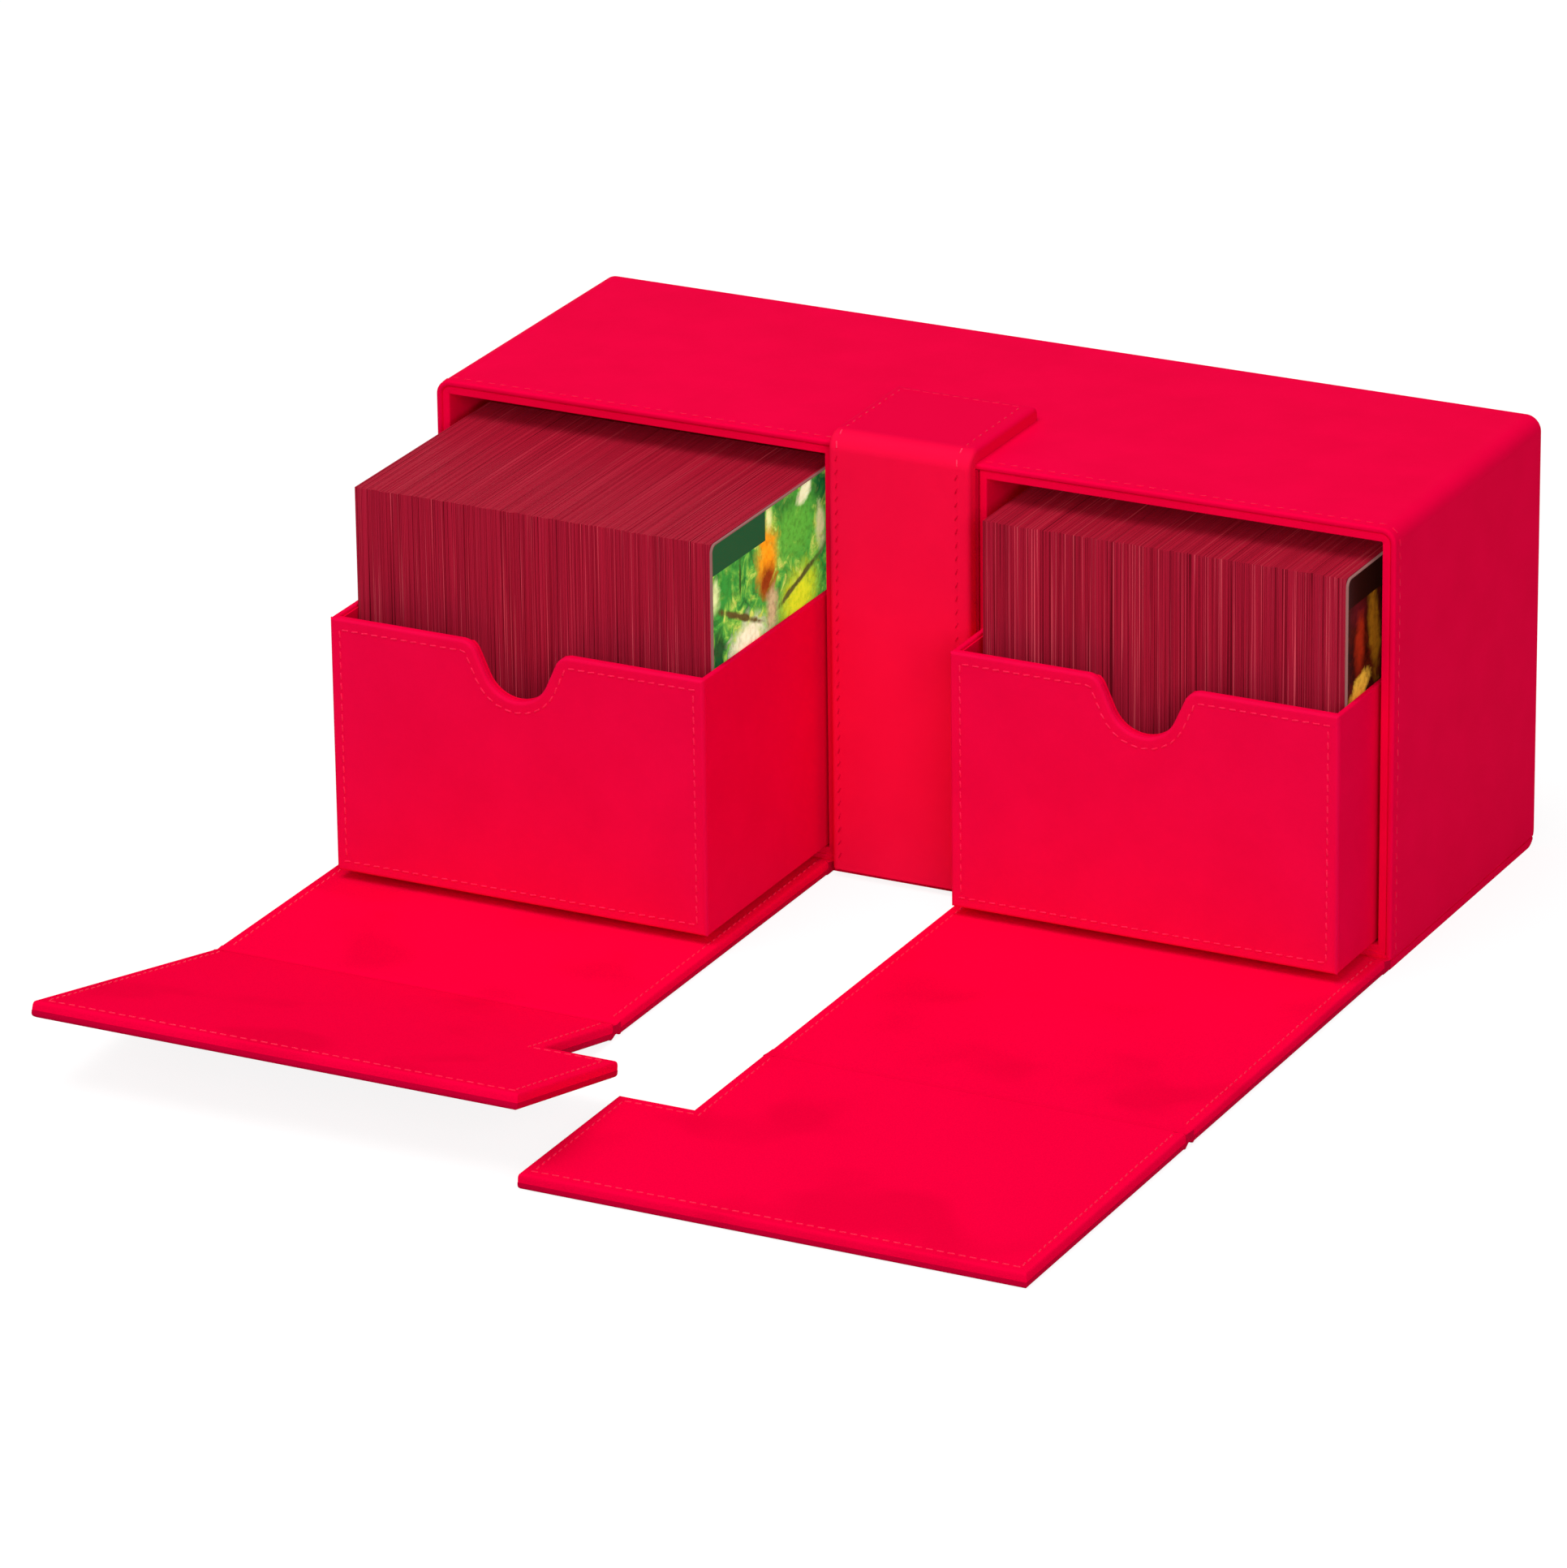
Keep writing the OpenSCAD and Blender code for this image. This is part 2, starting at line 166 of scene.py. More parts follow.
def bevel(width, steps=3, kind="EDGES"):
    """Rounds the chosen edges or corners over a width in millimetres."""
    bpy.ops.mesh.bevel(offset=width * MM, segments=steps, affect=kind, profile=0.5)


def pull(x=0, y=0, z=0):
    """Extrudes what is chosen by so many millimetres."""
    bpy.ops.mesh.extrude_region_move(TRANSFORM_OT_translate={"value": Vector((x, y, z)) * MM})


def outwards():
    """Turns every face of the open piece outwards."""
    bpy.ops.mesh.select_all(action="SELECT")
    bpy.ops.mesh.normals_make_consistent(inside=False)


def solid(x=0, y=0, z=0):
    """Pulls a flat outline into a closed solid."""
    bpy.ops.mesh.select_all(action="SELECT")
    pull(x, y, z)
    outwards()


def inset(width, depth=0):
    """Insets the chosen faces by a width; a depth above 0 lifts them, and below 0 sinks them."""
    bpy.ops.mesh.inset(thickness=width * MM, depth=depth * MM)


def trim(at, away):
    """Cuts the open piece off at a point, in millimetres; what lies away from it goes."""
    bpy.ops.mesh.select_all(action="SELECT")
    bpy.ops.mesh.bisect(plane_co=Vector(at) * MM, plane_no=away, clear_outer=True, use_fill=True)
    outwards()


def furrow(run, width, depth):
    """Sinks a narrow groove into the chosen face, run millimetres inside its edge."""
    inset(run - width / 2)
    inset(width / 2, -depth)
    inset(width / 2, depth)


# %% [markdown]
# `finished` closes a piece: its faces are turned outwards, it is shaded smooth wherever two faces
# meet softly, and face-weighted normals keep the large flat faces flat beside their rounded edges.
# Then it gets its material, its body and the CAD nodes that it stands for.

# %% Finishing a piece
def apply_modifier(piece, kind, **settings):
    """Adds a modifier with its settings and applies it."""
    begin()
    piece.select_set(True)
    bpy.context.view_layer.objects.active = piece
    added = piece.modifiers.new(kind.title(), kind)
    for name, value in settings.items():
        setattr(added, name, value)
    bpy.ops.object.modifier_apply(modifier=added.name)


def finished(piece, finish, body, slot, *nodes, angle=40, turn_out=True):
    """Closes a piece and ties it to its body and the nodes that it stands for; slot is not used."""
    begin()
    piece.select_set(True)
    bpy.context.view_layer.objects.active = piece
    if turn_out:
        bpy.ops.object.mode_set(mode="EDIT")
        bpy.ops.mesh.select_all(action="SELECT")
        bpy.ops.mesh.remove_doubles(threshold=0.001 * MM)
        bpy.ops.mesh.normals_make_consistent(inside=False)
        bpy.ops.object.mode_set(mode="OBJECT")
    bpy.ops.object.shade_smooth_by_angle(angle=math.radians(angle))
    apply_modifier(piece, "WEIGHTED_NORMAL", keep_sharp=True)
    piece.data.materials.clear()
    piece.data.materials.append(finish)
    if body:
        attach(piece, body)
    if nodes:
        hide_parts(*nodes)
    size = [round(v / MM, 1) for v in piece.dimensions]
    print(f"{piece.name}: {len(piece.data.polygons)} faces, {size} mm")
    return piece


# %% [markdown]
# ## Writing materials
# Colours are picked on screen as sRGB hex values, but a shader works in linear light, so one
# function turns them. Patterns are sized in millimetres: a texture's scale is how many of its
# cells fit in a metre, so `per_mm(0.7)` gives grains 0.7 mm wide on the metre-sized Object
# coordinates. All patterns read Object coordinates, because every piece keeps its place in its
# mesh, and so the grain stays the same size on every piece and moves with it.

# %% Colour and node helpers
def linear(code):
    """An sRGB hex colour as linear red, green, blue and alpha."""
    parts = [int(code[i:i + 2], 16) / 255 for i in (1, 3, 5)]
    return [p / 12.92 if p <= 0.04045 else ((p + 0.055) / 1.055) ** 2.4 for p in parts] + [1]


def per_mm(size):
    """The texture scale at which one cell is this many millimetres wide."""
    return 1 / (size * MM)


def add(tree, kind, inputs=None, **settings):
    """Adds a node, with settings by name and inputs that are values or other nodes' outputs."""
    made = tree.nodes.new("ShaderNode" + kind)
    for name, value in settings.items():
        setattr(made, name, value)
    for name, value in (inputs or {}).items():
        if isinstance(value, bpy.types.NodeSocket):
            tree.links.new(value, made.inputs[name])
        else:
            made.inputs[name].default_value = value
    return made


def ramp(tree, factor, *stops):
    """A colour ramp from (place, hex) stops; returns its colour output."""
    made = add(tree, "ValToRGB", {"Fac": factor})
    band = made.color_ramp
    while len(band.elements) < len(stops):
        band.elements.new(0.5)
    for element, (at, code) in zip(band.elements, stops):
        element.position = at
        element.color = linear(code)
    return made.outputs["Color"]


def mixed(tree, factor, a, b, blend="MIX"):
    """Two colours mixed by a factor; returns the colour output."""
    made = add(tree, "Mix", data_type="RGBA", blend_type=blend)
    for socket, value in zip((made.inputs[0], made.inputs[6], made.inputs[7]), (factor, a, b)):
        if isinstance(value, bpy.types.NodeSocket):
            tree.links.new(value, socket)
        else:
            socket.default_value = value
    return made.outputs[2]


def surface(name, **constants):
    """A new material: its tree, its shader and its Object coordinates."""
    made = bpy.data.materials.new(name)
    made.use_nodes = True
    tree = made.node_tree
    shader = tree.nodes["Principled BSDF"]
    for socket, value in constants.items():
        shader.inputs[socket.replace("_", " ")].default_value = value
    place = add(tree, "TexCoord").outputs["Object"]
    return made, tree, shader, place


# %% [markdown]
# ## Embossed polyurethane leatherette
# The outer skin is a knitted backing with a coat of polyurethane, pressed between rollers while
# warm. That gives a fine, shallow grain of cells well under a millimetre wide, a dull sheen and a
# very even colour. The grain could be painted, but then it would not catch the light, so it is a
# bump of small cells with softer, wider undulation under it. The colour drifts only a little.
# On the real box this may well be one skin throughout. Two lamps don't repeat the photograph's light
# on every piece at once, so the reds here are matched to the photograph piece by piece, as lit and
# shaded copies of one skin: one for the case and the trays' sides, a darker one with painted shade
# for the thin edges of the fronts and lids, the hinges and the pillar, one for the tray fronts, a
# brighter one with painted light for the band, which turns to painted shade on its top, and a
# brighter one with painted light for the liners of the bays.

# %% Leatherette
def leatherette(name, colour, deeper, rough, behind=None):
    """Embossed leatherette with a 0.55 mm grain over a 6 mm undulation.

    behind is (y, width, hex): the colour of painted shade that it turns to behind a depth y, in
    millimetres.
    """
    made, tree, shader, place = surface(
        name, Specular_IOR_Level=0.003, Specular_Tint=linear("#ff2a50")
    )
    drift = add(tree, "TexNoise", {"Vector": place, "Scale": per_mm(14), "Detail": 3})
    base = ramp(tree, drift.outputs["Fac"], (0.3, deeper), (0.65, colour))
    # Behind a depth y the colour turns to a painted shade.
    if behind:
        depth = add(tree, "SeparateXYZ", {"Vector": place}).outputs["Y"]
        part = add(tree, "MapRange", {"Value": depth, "From Min": behind[0] * MM,
                                      "From Max": (behind[0] + behind[1]) * MM})
        base = mixed(tree, part.outputs["Result"], base, linear(behind[2]))
    tree.links.new(base, shader.inputs["Base Color"])
    cells = add(tree, "TexVoronoi", {"Vector": place, "Scale": per_mm(0.55)},
                feature="SMOOTH_F1")
    swell = add(tree, "TexNoise", {"Vector": place, "Scale": per_mm(6), "Detail": 2})
    height = add(tree, "Math", {0: swell.outputs["Fac"], 1: 6.0, 2: cells.outputs["Distance"]},
                 operation="MULTIPLY_ADD")
    bump = add(tree, "Bump", {"Height": height.outputs[0], "Strength": 0.35,
                              "Distance": 0.02 * MM})
    tree.links.new(bump.outputs["Normal"], shader.inputs["Normal"])
    gloss = add(tree, "MapRange", {"Value": cells.outputs["Distance"], "To Min": rough,
                                   "To Max": rough + 0.12})
    tree.links.new(gloss.outputs["Result"], shader.inputs["Roughness"])
    return made


skin_finish = leatherette("embossed_pu_leatherette", "#f60041", "#f1003e", 0.5)
# A darker copy of the skin: painted shade, for the thin edges of the fronts and lids, the hinges and
# the pillar.
shaded_skin_finish = leatherette("pu_leatherette_painted_shade", "#cc0034", "#c60031", 0.5)
facing_finish = leatherette("embossed_pu_tray_leatherette", "#f20847", "#ed0744", 0.5)
# A brighter copy for the band: painted light down its front, turning to painted shade on its top.
band_finish = leatherette("pu_leatherette_band_painted_light_and_shade", "#ff1044", "#fb0e42", 0.5,
                          behind=(-44.5, 3.5, "#ee003e"))
# A brighter copy for the liners of the bays: painted light in their shade.
sleeve_finish = leatherette("pu_liner_painted_light", "#ff0040", "#fa003d", 0.55)
print("leatherettes:", skin_finish.name, shaded_skin_finish.name, facing_finish.name,
      band_finish.name, sleeve_finish.name)

# %% [markdown]
# ## Suede lining
# The lining looks like a microfibre suede with a short raised nap. Where such a nap lies the other
# way it looks darker, and that darker look is painted into the colour as soft patches of painted
# shade a few centimetres long. Sheen on the shader gives the pale bloom of the fibres at a shallow
# angle, and a fine noise breaks the surface up into fibres about a third of a millimetre wide, as
# coarse as they need to be to show.

# %% Suede
suede_finish, tree, shader, place = surface(
    "flocked_microfibre_suede", Roughness=0.95, Specular_IOR_Level=0.0,
    Sheen_Weight=0.12, Sheen_Roughness=0.5, Sheen_Tint=linear("#ff1038"),
)
patches = add(tree, "TexNoise", {"Vector": place, "Scale": per_mm(30), "Detail": 2,
                                 "Roughness": 0.4, "Distortion": 0.2})
# Darker nap patches: painted shade in the lining's colour.
nap_shade = ramp(tree, patches.outputs["Fac"], (0.33, "#f4003a"), (0.45, "#fe003e"), (0.6, "#ff003f"))
fibres = add(tree, "TexNoise", {"Vector": place, "Scale": per_mm(0.35), "Detail": 2})
fine = ramp(tree, fibres.outputs["Fac"], (0.3, "#f6f6f6"), (0.6, "#ffffff"))
tree.links.new(mixed(tree, 1.0, nap_shade, fine, "MULTIPLY"), shader.inputs["Base Color"])
bump = add(tree, "Bump", {"Height": fibres.outputs["Fac"], "Strength": 0.3, "Distance": 0.05 * MM})
tree.links.new(bump.outputs["Normal"], shader.inputs["Normal"])
print("lining:", suede_finish.name)

# %% [markdown]
# ## Thread, greyboard and magnets
# The seams are taken to be sewn with bonded polyester thread. In the photograph the stitches are pale
# on the trays, hardly seen on the case, dark down the band, pale over its bend and faint on the
# suede. So each of these has a thread colour matched to it: the darker one down the band is painted
# shade, and the paler one over the bend is a painted highlight.
# Greyboard is recycled paper pulp with flecks in it. Its edge would show as a grey line in the
# joint at the case's front, where the photograph has none, so it is tinted red there, which is a
# guess at how the real edge is hidden. The magnets are taken to be nickel-plated discs. Board and
# magnets are hidden inside, but they are finished too, because the parts can be taken apart.

# %% Thread, board and magnets
def thread(name, dark, light):
    """Thread in two close colours that follow its twist."""
    made, tree, shader, place = surface(name, Roughness=0.5, Specular_IOR_Level=0.1,
                                        Specular_Tint=linear("#ff4a6a"))
    twist = add(tree, "TexNoise", {"Vector": place, "Scale": per_mm(0.3), "Detail": 1})
    tree.links.new(ramp(tree, twist.outputs["Fac"], (0.35, dark), (0.65, light)),
                   shader.inputs["Base Color"])
    return made


thread_finish = thread("bonded_polyester_thread", "#f4164a", "#ff2c5e")
case_thread = thread("bonded_polyester_case_thread", "#ec003c", "#f60844")
# Down the band the thread is darker, painted shade; over the bend it is paler, a painted highlight.
band_shade_thread = thread("polyester_thread_painted_shade", "#d80032", "#ec083e")
bend_highlight_thread = thread("polyester_thread_painted_highlight", "#ff2450", "#ff4a74")
lining_thread = thread("bonded_polyester_lining_thread", "#f51644", "#ff2e58")

board_finish, tree, shader, place = surface("recycled_greyboard", Roughness=0.9,
                                            Specular_IOR_Level=0.2)
pulp = add(tree, "TexNoise", {"Vector": place, "Scale": per_mm(1.5), "Detail": 5})
grey = ramp(tree, pulp.outputs["Fac"], (0.35, "#7f7b74"), (0.55, "#938f88"), (0.72, "#a8a49c"))
inked = add(tree, "Math", {0: add(tree, "SeparateXYZ", {"Vector": place}).outputs["Y"],
                           1: case_low[1] * MM, 2: 1.2 * MM}, operation="COMPARE")
tree.links.new(mixed(tree, inked.outputs[0], grey, linear("#86001e")), shader.inputs["Base Color"])
bump = add(tree, "Bump", {"Height": pulp.outputs["Fac"], "Strength": 0.4, "Distance": 0.1 * MM})
tree.links.new(bump.outputs["Normal"], shader.inputs["Normal"])

magnet_finish, tree, shader, place = surface("nickel_plated_magnet", Metallic=1.0, Roughness=0.22)
plate = add(tree, "TexNoise", {"Vector": place, "Scale": per_mm(0.8), "Detail": 2})
tree.links.new(ramp(tree, plate.outputs["Fac"], (0.3, "#b9b6ae"), (0.7, "#cbc8c1")),
               shader.inputs["Base Color"])
print("thread, board and magnets are ready")

# %% [markdown]
# ## Card sleeves
# A sleeved card is a stack of thin polypropylene films with a card between them. Seen from the edge,
# every film is a line a few tenths of a millimetre wide, some pale where it catches the light and
# some dark where there is air behind it. The sheets themselves are modelled below, and this material
# adds what is finer than a sheet: streaks of painted highlight and painted shade that run along it,
# so the noise is stretched along the card and changes only across the row. On faces that turn upwards
# the streaks are blended towards one even colour. In the photograph the rows are lighter in the shade
# than these lamps make them, so the material also gives off a little light of its own.

# %% Card sleeves
sleeves_finish, tree, shader, place = surface(
    "matte_polypropylene_sleeves", Roughness=0.5, Specular_IOR_Level=0.02,
    Specular_Tint=linear("#ff8090"), Emission_Strength=0.1,
)
across = add(tree, "Mapping", {"Vector": place, "Scale": (1, 0.004, 0.004)})
wide = add(tree, "TexNoise", {"Vector": across.outputs[0], "Scale": per_mm(0.36), "Detail": 2,
                              "Roughness": 0.6})
drift = add(tree, "TexNoise", {"Vector": across.outputs[0], "Scale": per_mm(3), "Detail": 1})
# Pale stops are painted highlights, dark stops painted shade between the films.
films = ramp(tree, wide.outputs["Fac"], (0.34, "#680e1c"), (0.42, "#a61a33"), (0.6, "#ac1e3a"),
             (0.67, "#d4505f"))
shade = ramp(tree, drift.outputs["Fac"], (0.35, "#f2f2f2"), (0.6, "#ffffff"))
films = mixed(tree, 1.0, films, shade, "MULTIPLY")
# Faces that turn upwards are blended towards one even colour.
facing = add(tree, "SeparateXYZ", {"Vector": add(tree, "NewGeometry").outputs["Normal"]})
upward = add(tree, "Math", {0: facing.outputs["Z"], 1: 0.75}, operation="MULTIPLY", use_clamp=True)
films = mixed(tree, upward.outputs[0], films, linear("#a8162e"))
# The films also glow a little: painted light.
for socket in ("Base Color", "Emission Color"):
    tree.links.new(films, shader.inputs[socket])
bump = add(tree, "Bump", {"Height": wide.outputs["Fac"], "Strength": 0.3, "Distance": 0.06 * MM})
tree.links.new(bump.outputs["Normal"], shader.inputs["Normal"])
print("sleeves:", sleeves_finish.name)

# %% [markdown]
# ## Pictures on the end cards
# At the right-hand end of each row the last card shows its face. A printed card in a clear sleeve has
# a narrow pale rim, where the sleeve stands past the print. The prints here are soft ovals of colour
# laid over each other, with a plain bar, their edges frayed by noise and the whole mottled as by a
# brush. A mapping node puts zero at the card's lower front corner and makes one unit a millimetre, so
# every oval has its place and size in millimetres. The places, leans and colours of the ovals were
# set from the larger patches of the photographed prints. That is closer than a generic print should
# be, so they need a layout of their own before the part is used. The photograph's prints are vivid
# although they stand in the shade, so these give off some light.

# %% Card size and pictures
card_y, card_z, card_corner, rim_w = 66.0, 91.0, 2.0, 0.32


def picture(name, corner, ground, ovals, bar):
    """A printed card: ovals (y, z down from the top, half sizes, lean, blur, colour) on a ground."""
    made, tree, shader, place = surface(name, Roughness=0.35, Specular_IOR_Level=0.04,
                                        Emission_Strength=0.55)
    local = add(tree, "Mapping", {"Vector": place, "Location": (0, -corner[0], -corner[1]),
                                  "Scale": (0, per_mm(1), per_mm(1))}).outputs[0]
    fray = add(tree, "TexNoise", {"Vector": local, "Scale": 0.22, "Detail": 4,
                                  "Roughness": 0.6, "Distortion": 0.8})
    colour = ramp(tree, fray.outputs["Fac"], *ground)

    def math_of(operation, *values):
        return add(tree, "Math", dict(enumerate(values)), operation=operation).outputs[0]

    for y, down, half_y, half_z, lean, blur, code in ovals:
        oval = add(tree, "Mapping", {"Vector": local, "Location": (0, y, card_z - down),
                                     "Rotation": (math.radians(lean), 0, 0),
                                     "Scale": (1, half_y, half_z)}, vector_type="TEXTURE")
        away = add(tree, "VectorMath", {0: oval.outputs[0]}, operation="LENGTH").outputs["Value"]
        frayed = math_of("MULTIPLY_ADD", fray.outputs["Fac"], 2.0, away)
        part = add(tree, "MapRange", {"Value": frayed, "From Min": 2.0 + blur,
                                      "From Max": 2.0 - blur})
        colour = mixed(tree, part.outputs["Result"], colour, linear(code))

    grain = add(tree, "TexNoise", {"Vector": local, "Scale": 0.55, "Detail": 4, "Roughness": 0.65})
    mottle = ramp(tree, grain.outputs["Fac"], (0.34, "#a09c90"), (0.52, "#f0f0e6"), (0.66, "#ffffff"))
    colour = mixed(tree, 0.5, colour, mottle, "MULTIPLY")

    axes = add(tree, "SeparateXYZ", {"Vector": local})

    def inside(axis, low, high):
        """1 between two sizes in millimetres, else 0."""
        return math_of("COMPARE", axes.outputs[axis], (low + high) / 2, (high - low) / 2)

    title = math_of("MULTIPLY", inside("Y", 0, bar[0]), inside("Z", card_z - bar[1], card_z))
    colour = mixed(tree, title, colour, linear(bar[2]))
    past, half = local, Vector((0, card_y / 2, card_z / 2))
    core = half - Vector((0, card_corner, card_corner))
    for operation, value in (("SUBTRACT", half), ("ABSOLUTE", half), ("SUBTRACT", core),
                             ("MAXIMUM", Vector())):
        past = add(tree, "VectorMath", {0: past, 1: value}, operation=operation).outputs[0]
    past = add(tree, "VectorMath", {0: past}, operation="LENGTH").outputs["Value"]
    rim = math_of("GREATER_THAN", past, card_corner - rim_w)
    colour = mixed(tree, rim, colour, linear("#7c5854"))
    for socket in ("Base Color", "Emission Color"):
        tree.links.new(colour, shader.inputs[socket])
    return made


# %% [markdown]
# ## Stitches
# A lockstitch seam shows one short bar of thread after another, each sunk into the skin at both
# ends. One stitch is modelled as a six-sided bar with rounded ends and copied along each seam,
# each copy slightly slanted, as thread lies. A painted dotted line would be quicker, but it would
# neither stand up from the skin nor catch the light. The stitch has only 32 faces, because there
# are over 800 of them.

# %% One stitch
stitch_pitch, stitch_length, thread_width = 2.6, 1.7, 0.42

begin()
bpy.ops.mesh.primitive_cylinder_add(vertices=6, radius=thread_width / 2 * MM,
                                    depth=stitch_length * MM,
                                    rotation=(0, math.radians(90), 0))
bpy.ops.object.transform_apply(location=True, rotation=True, scale=True)
stitch = bpy.context.object
stitch.name = "stitch_pattern"
bpy.ops.object.mode_set(mode="EDIT")
choose("EDGE", lambda at, along: near(abs(at.x), stitch_length / 2))
bevel(thread_width * 0.4, 2)
begin()
print("one stitch:", len(stitch.data.polygons), "faces")


# %% A seam
def seam(name, stops, body, turn=None, yarn=None, pitch=stitch_pitch, lean=(2, 9)):
    """Copies the stitch along (place, up) stops, in millimetres, and joins the copies.

    lean is how far they are slanted, from and to, in degrees.
    """
    dice = random.Random(name)
    lengths = [(b[0] - a[0]).length for a, b in zip(stops, stops[1:])]
    count = max(1, round(sum(lengths) / pitch))
    copies = []
    for number in range(count):
        run, leg = (number + 0.5) * sum(lengths) / count, 0
        while run > lengths[leg] and leg < len(lengths) - 1:
            run -= lengths[leg]
            leg += 1
        (start, up), (end, up_end) = stops[leg], stops[leg + 1]
        share = run / lengths[leg]
        ahead = (end - start).normalized()
        raised = up.lerp(up_end, share).normalized()
        aside = raised.cross(ahead).normalized()
        ahead = aside.cross(raised)
        frame_of = Matrix((ahead, aside, raised)).transposed().to_4x4()
        slant = Matrix.Rotation(math.radians(dice.uniform(*lean)), 4, "Z")
        spot = (start.lerp(end, share) + raised * dice.uniform(-0.04, 0.02)) * MM
        copy = stitch.copy()
        copy.data = stitch.data.copy()
        copy.data.transform(Matrix.Translation(spot) @ frame_of @ slant)
        bpy.context.collection.objects.link(copy)
        copies.append(copy)
    begin()
    for copy in copies:
        copy.select_set(True)
    bpy.context.view_layer.objects.active = copies[0]
    bpy.ops.object.join()
    sewn = bpy.context.object
    sewn.name = name
    if turn:
        turn(sewn)
    return finished(sewn, yarn or thread_finish, body, "skin", angle=60, turn_out=False)


def pushed_in(points, run):
    """A closed outline's corners moved inwards by run, both in the outline's own order."""
    area = sum(a.x * b.y - b.x * a.y for a, b in zip(points, points[1:] + points[:1]))
    turn = 1 if area > 0 else -1
    moved = []
    for before, here, after in zip(points[-1:] + points[:-1], points, points[1:] + points[:1]):
        first, second = (here - before).normalized(), (after - here).normalized()
        sides = [Vector((-d.y, d.x)) * turn for d in (first, second)]
        both = (sides[0] + sides[1]).normalized()
        moved.append(here + both * run / max(0.3, both.dot(sides[0])))
    return moved


# %% [markdown]
# ## The case
# The case is taken to be one board wrapped round both bays and covered with leatherette that is
# turned in over the front edge. So the skin is modelled as a thin closed sheet over the CAD board:
# a block, its long top edges rounded to 3.8 mm, its front opened by an inset and a turned-in lip,
# and the whole given its thickness by Solidify. A solid block with a hole would look the same from
# the front, but it would have no room for the board.

# %% Case skin
skin_t, case_wall, top_radius, back_radius = 0.55, 1.5, 3.8, 4.0
side_x, front_y, back_y = case_high[0], case_low[1], case_high[1]
case_bottom, case_top = case_low[2], case_high[2]


def open_front(rim, lip, wall, depth):
    """Rounds the front face's border, then opens it with a wall and a turned-in lip."""
    face_y = min(v.co.y for v in bmesh.from_edit_mesh(bpy.context.object.data).verts) / MM
    choose("FACE", lambda at, facing: near(at.y, face_y) and facing.y < -0.9)
    bpy.ops.mesh.region_to_loop()
    bevel(rim, 4)
    choose("FACE", lambda at, facing: near(at.y, face_y) and facing.y < -0.99)
    bpy.ops.mesh.remove_doubles(threshold=0.2 * MM)
    choose("FACE", lambda at, facing: near(at.y, face_y) and facing.y < -0.99)
    inset(wall - rim - lip)
    inset(lip * 0.5, -lip * 0.3)
    inset(lip * 0.5, -lip * 1.1)
    pull(y=depth)


def back_bent(name, top, cut_z, away):
    """A block of the case's plan whose bottom back edge is round, cut off at a height."""
    made = block(name, (*case_low[:2], 0), (*case_high[:2], top))
    choose("EDGE", lambda at, along: near(at.y, back_y) and near(at.z, 0))
    bevel(back_radius, 9)
    trim((0, 0, cut_z), (0, 0, away))
    return made


case_skin = back_bent("case_skin", case_top, case_bottom, -1)
choose("EDGE", lambda at, along: near(abs(at.x), side_x) and near(at.z, case_top))
bevel(top_radius, 10)
choose("EDGE", lambda at, along: near(at.y, back_y) and at.z > case_top - top_radius - 0.1
       or near(abs(at.x), side_x) and at.y > front_y + 1 and at.z < case_top - top_radius - 0.1)
bevel(0.7, 4)
open_front(0.6, 0.45, case_wall, 0.8)
bpy.ops.mesh.delete(type="FACE")
apply_modifier(case_skin, "SOLIDIFY", thickness=skin_t * MM, offset=-1, use_even_offset=True)
finished(case_skin, skin_finish, "case", "skin", "case_cover")

# %% [markdown]
# The base panel is board in the skin that runs on into the folding fronts. It is glued under the
# case, so it shows as a strip under a thin dark joint. At the back the two share one round edge, so
# both start as the same rounded block and are cut apart at the joint.

# %% Base panel
uncut_height = 20
base_skin = back_bent("base_skin", uncut_height, base_top - 0.02, 1)
choose("EDGE", lambda at, along: near(abs(at.x), side_x) and at.y > front_y + 1)
bevel(0.4, 3)
finished(base_skin, skin_finish, "case", "skin", "base_panel")

# %% [markdown]
# Each bay is lined with a sleeve, an open box of thin board whose edge stands a hair behind the
# case's own edge. The thin dark line between the two edges is a real groove, so it is modelled:
# both edges are rounded and meet behind it. A texture line would stay flat in close views. Under
# each sleeve the lining of the front runs on over the case's lower edge, as a narrow sill. A small
# cap closes the top of the pillar, where its board would show grey beside the band.

# %% Bay sleeves
joint_overlap, sleeve_wall = 0.05, 1.5
pillar_half = sleeve_low[0]
for side, sign in SIDES.items():
    low = (sleeve_low[0] + 0.05, sleeve_low[1], case_bottom + case_wall - joint_overlap)
    high = (side_x - case_wall + joint_overlap, sleeve_high[1],
            case_top - case_wall + joint_overlap)
    if sign < 0:
        low, high = (-high[0], *low[1:]), (-low[0], *high[1:])
    sleeve = block("bay_sleeve_" + side, low, high)
    outer = abs(high[0]) if sign > 0 else abs(low[0])
    choose("EDGE", lambda at, along: near(abs(at.x), outer) and near(at.z, high[2]))
    bevel(top_radius - case_wall, 6)
    sleeve_edge = sleeve_wall + sleeve_low[2] - low[2]
    open_front(0.45, 0.25, sleeve_edge, high[1] - sleeve_wall - low[1])
    finished(sleeve, sleeve_finish, "case", "sleeve", "sleeve_" + side)

    ends = sorted(sign * x for x in (pillar_half - 1.1, side_x - case_wall - 0.1))
    sill_top = case_bottom + case_wall + 0.4
    sill = block("sill_lining_" + side, (ends[0], front_y - 0.3, case_bottom + 0.6),
                 (ends[1], front_y + 0.3, sill_top))
    choose("EDGE", lambda at, along: near(at.y, front_y - 0.3) and near(at.z, sill_top))
    bevel(0.28, 4)
    finished(sill, suede_finish, "case", "lining")

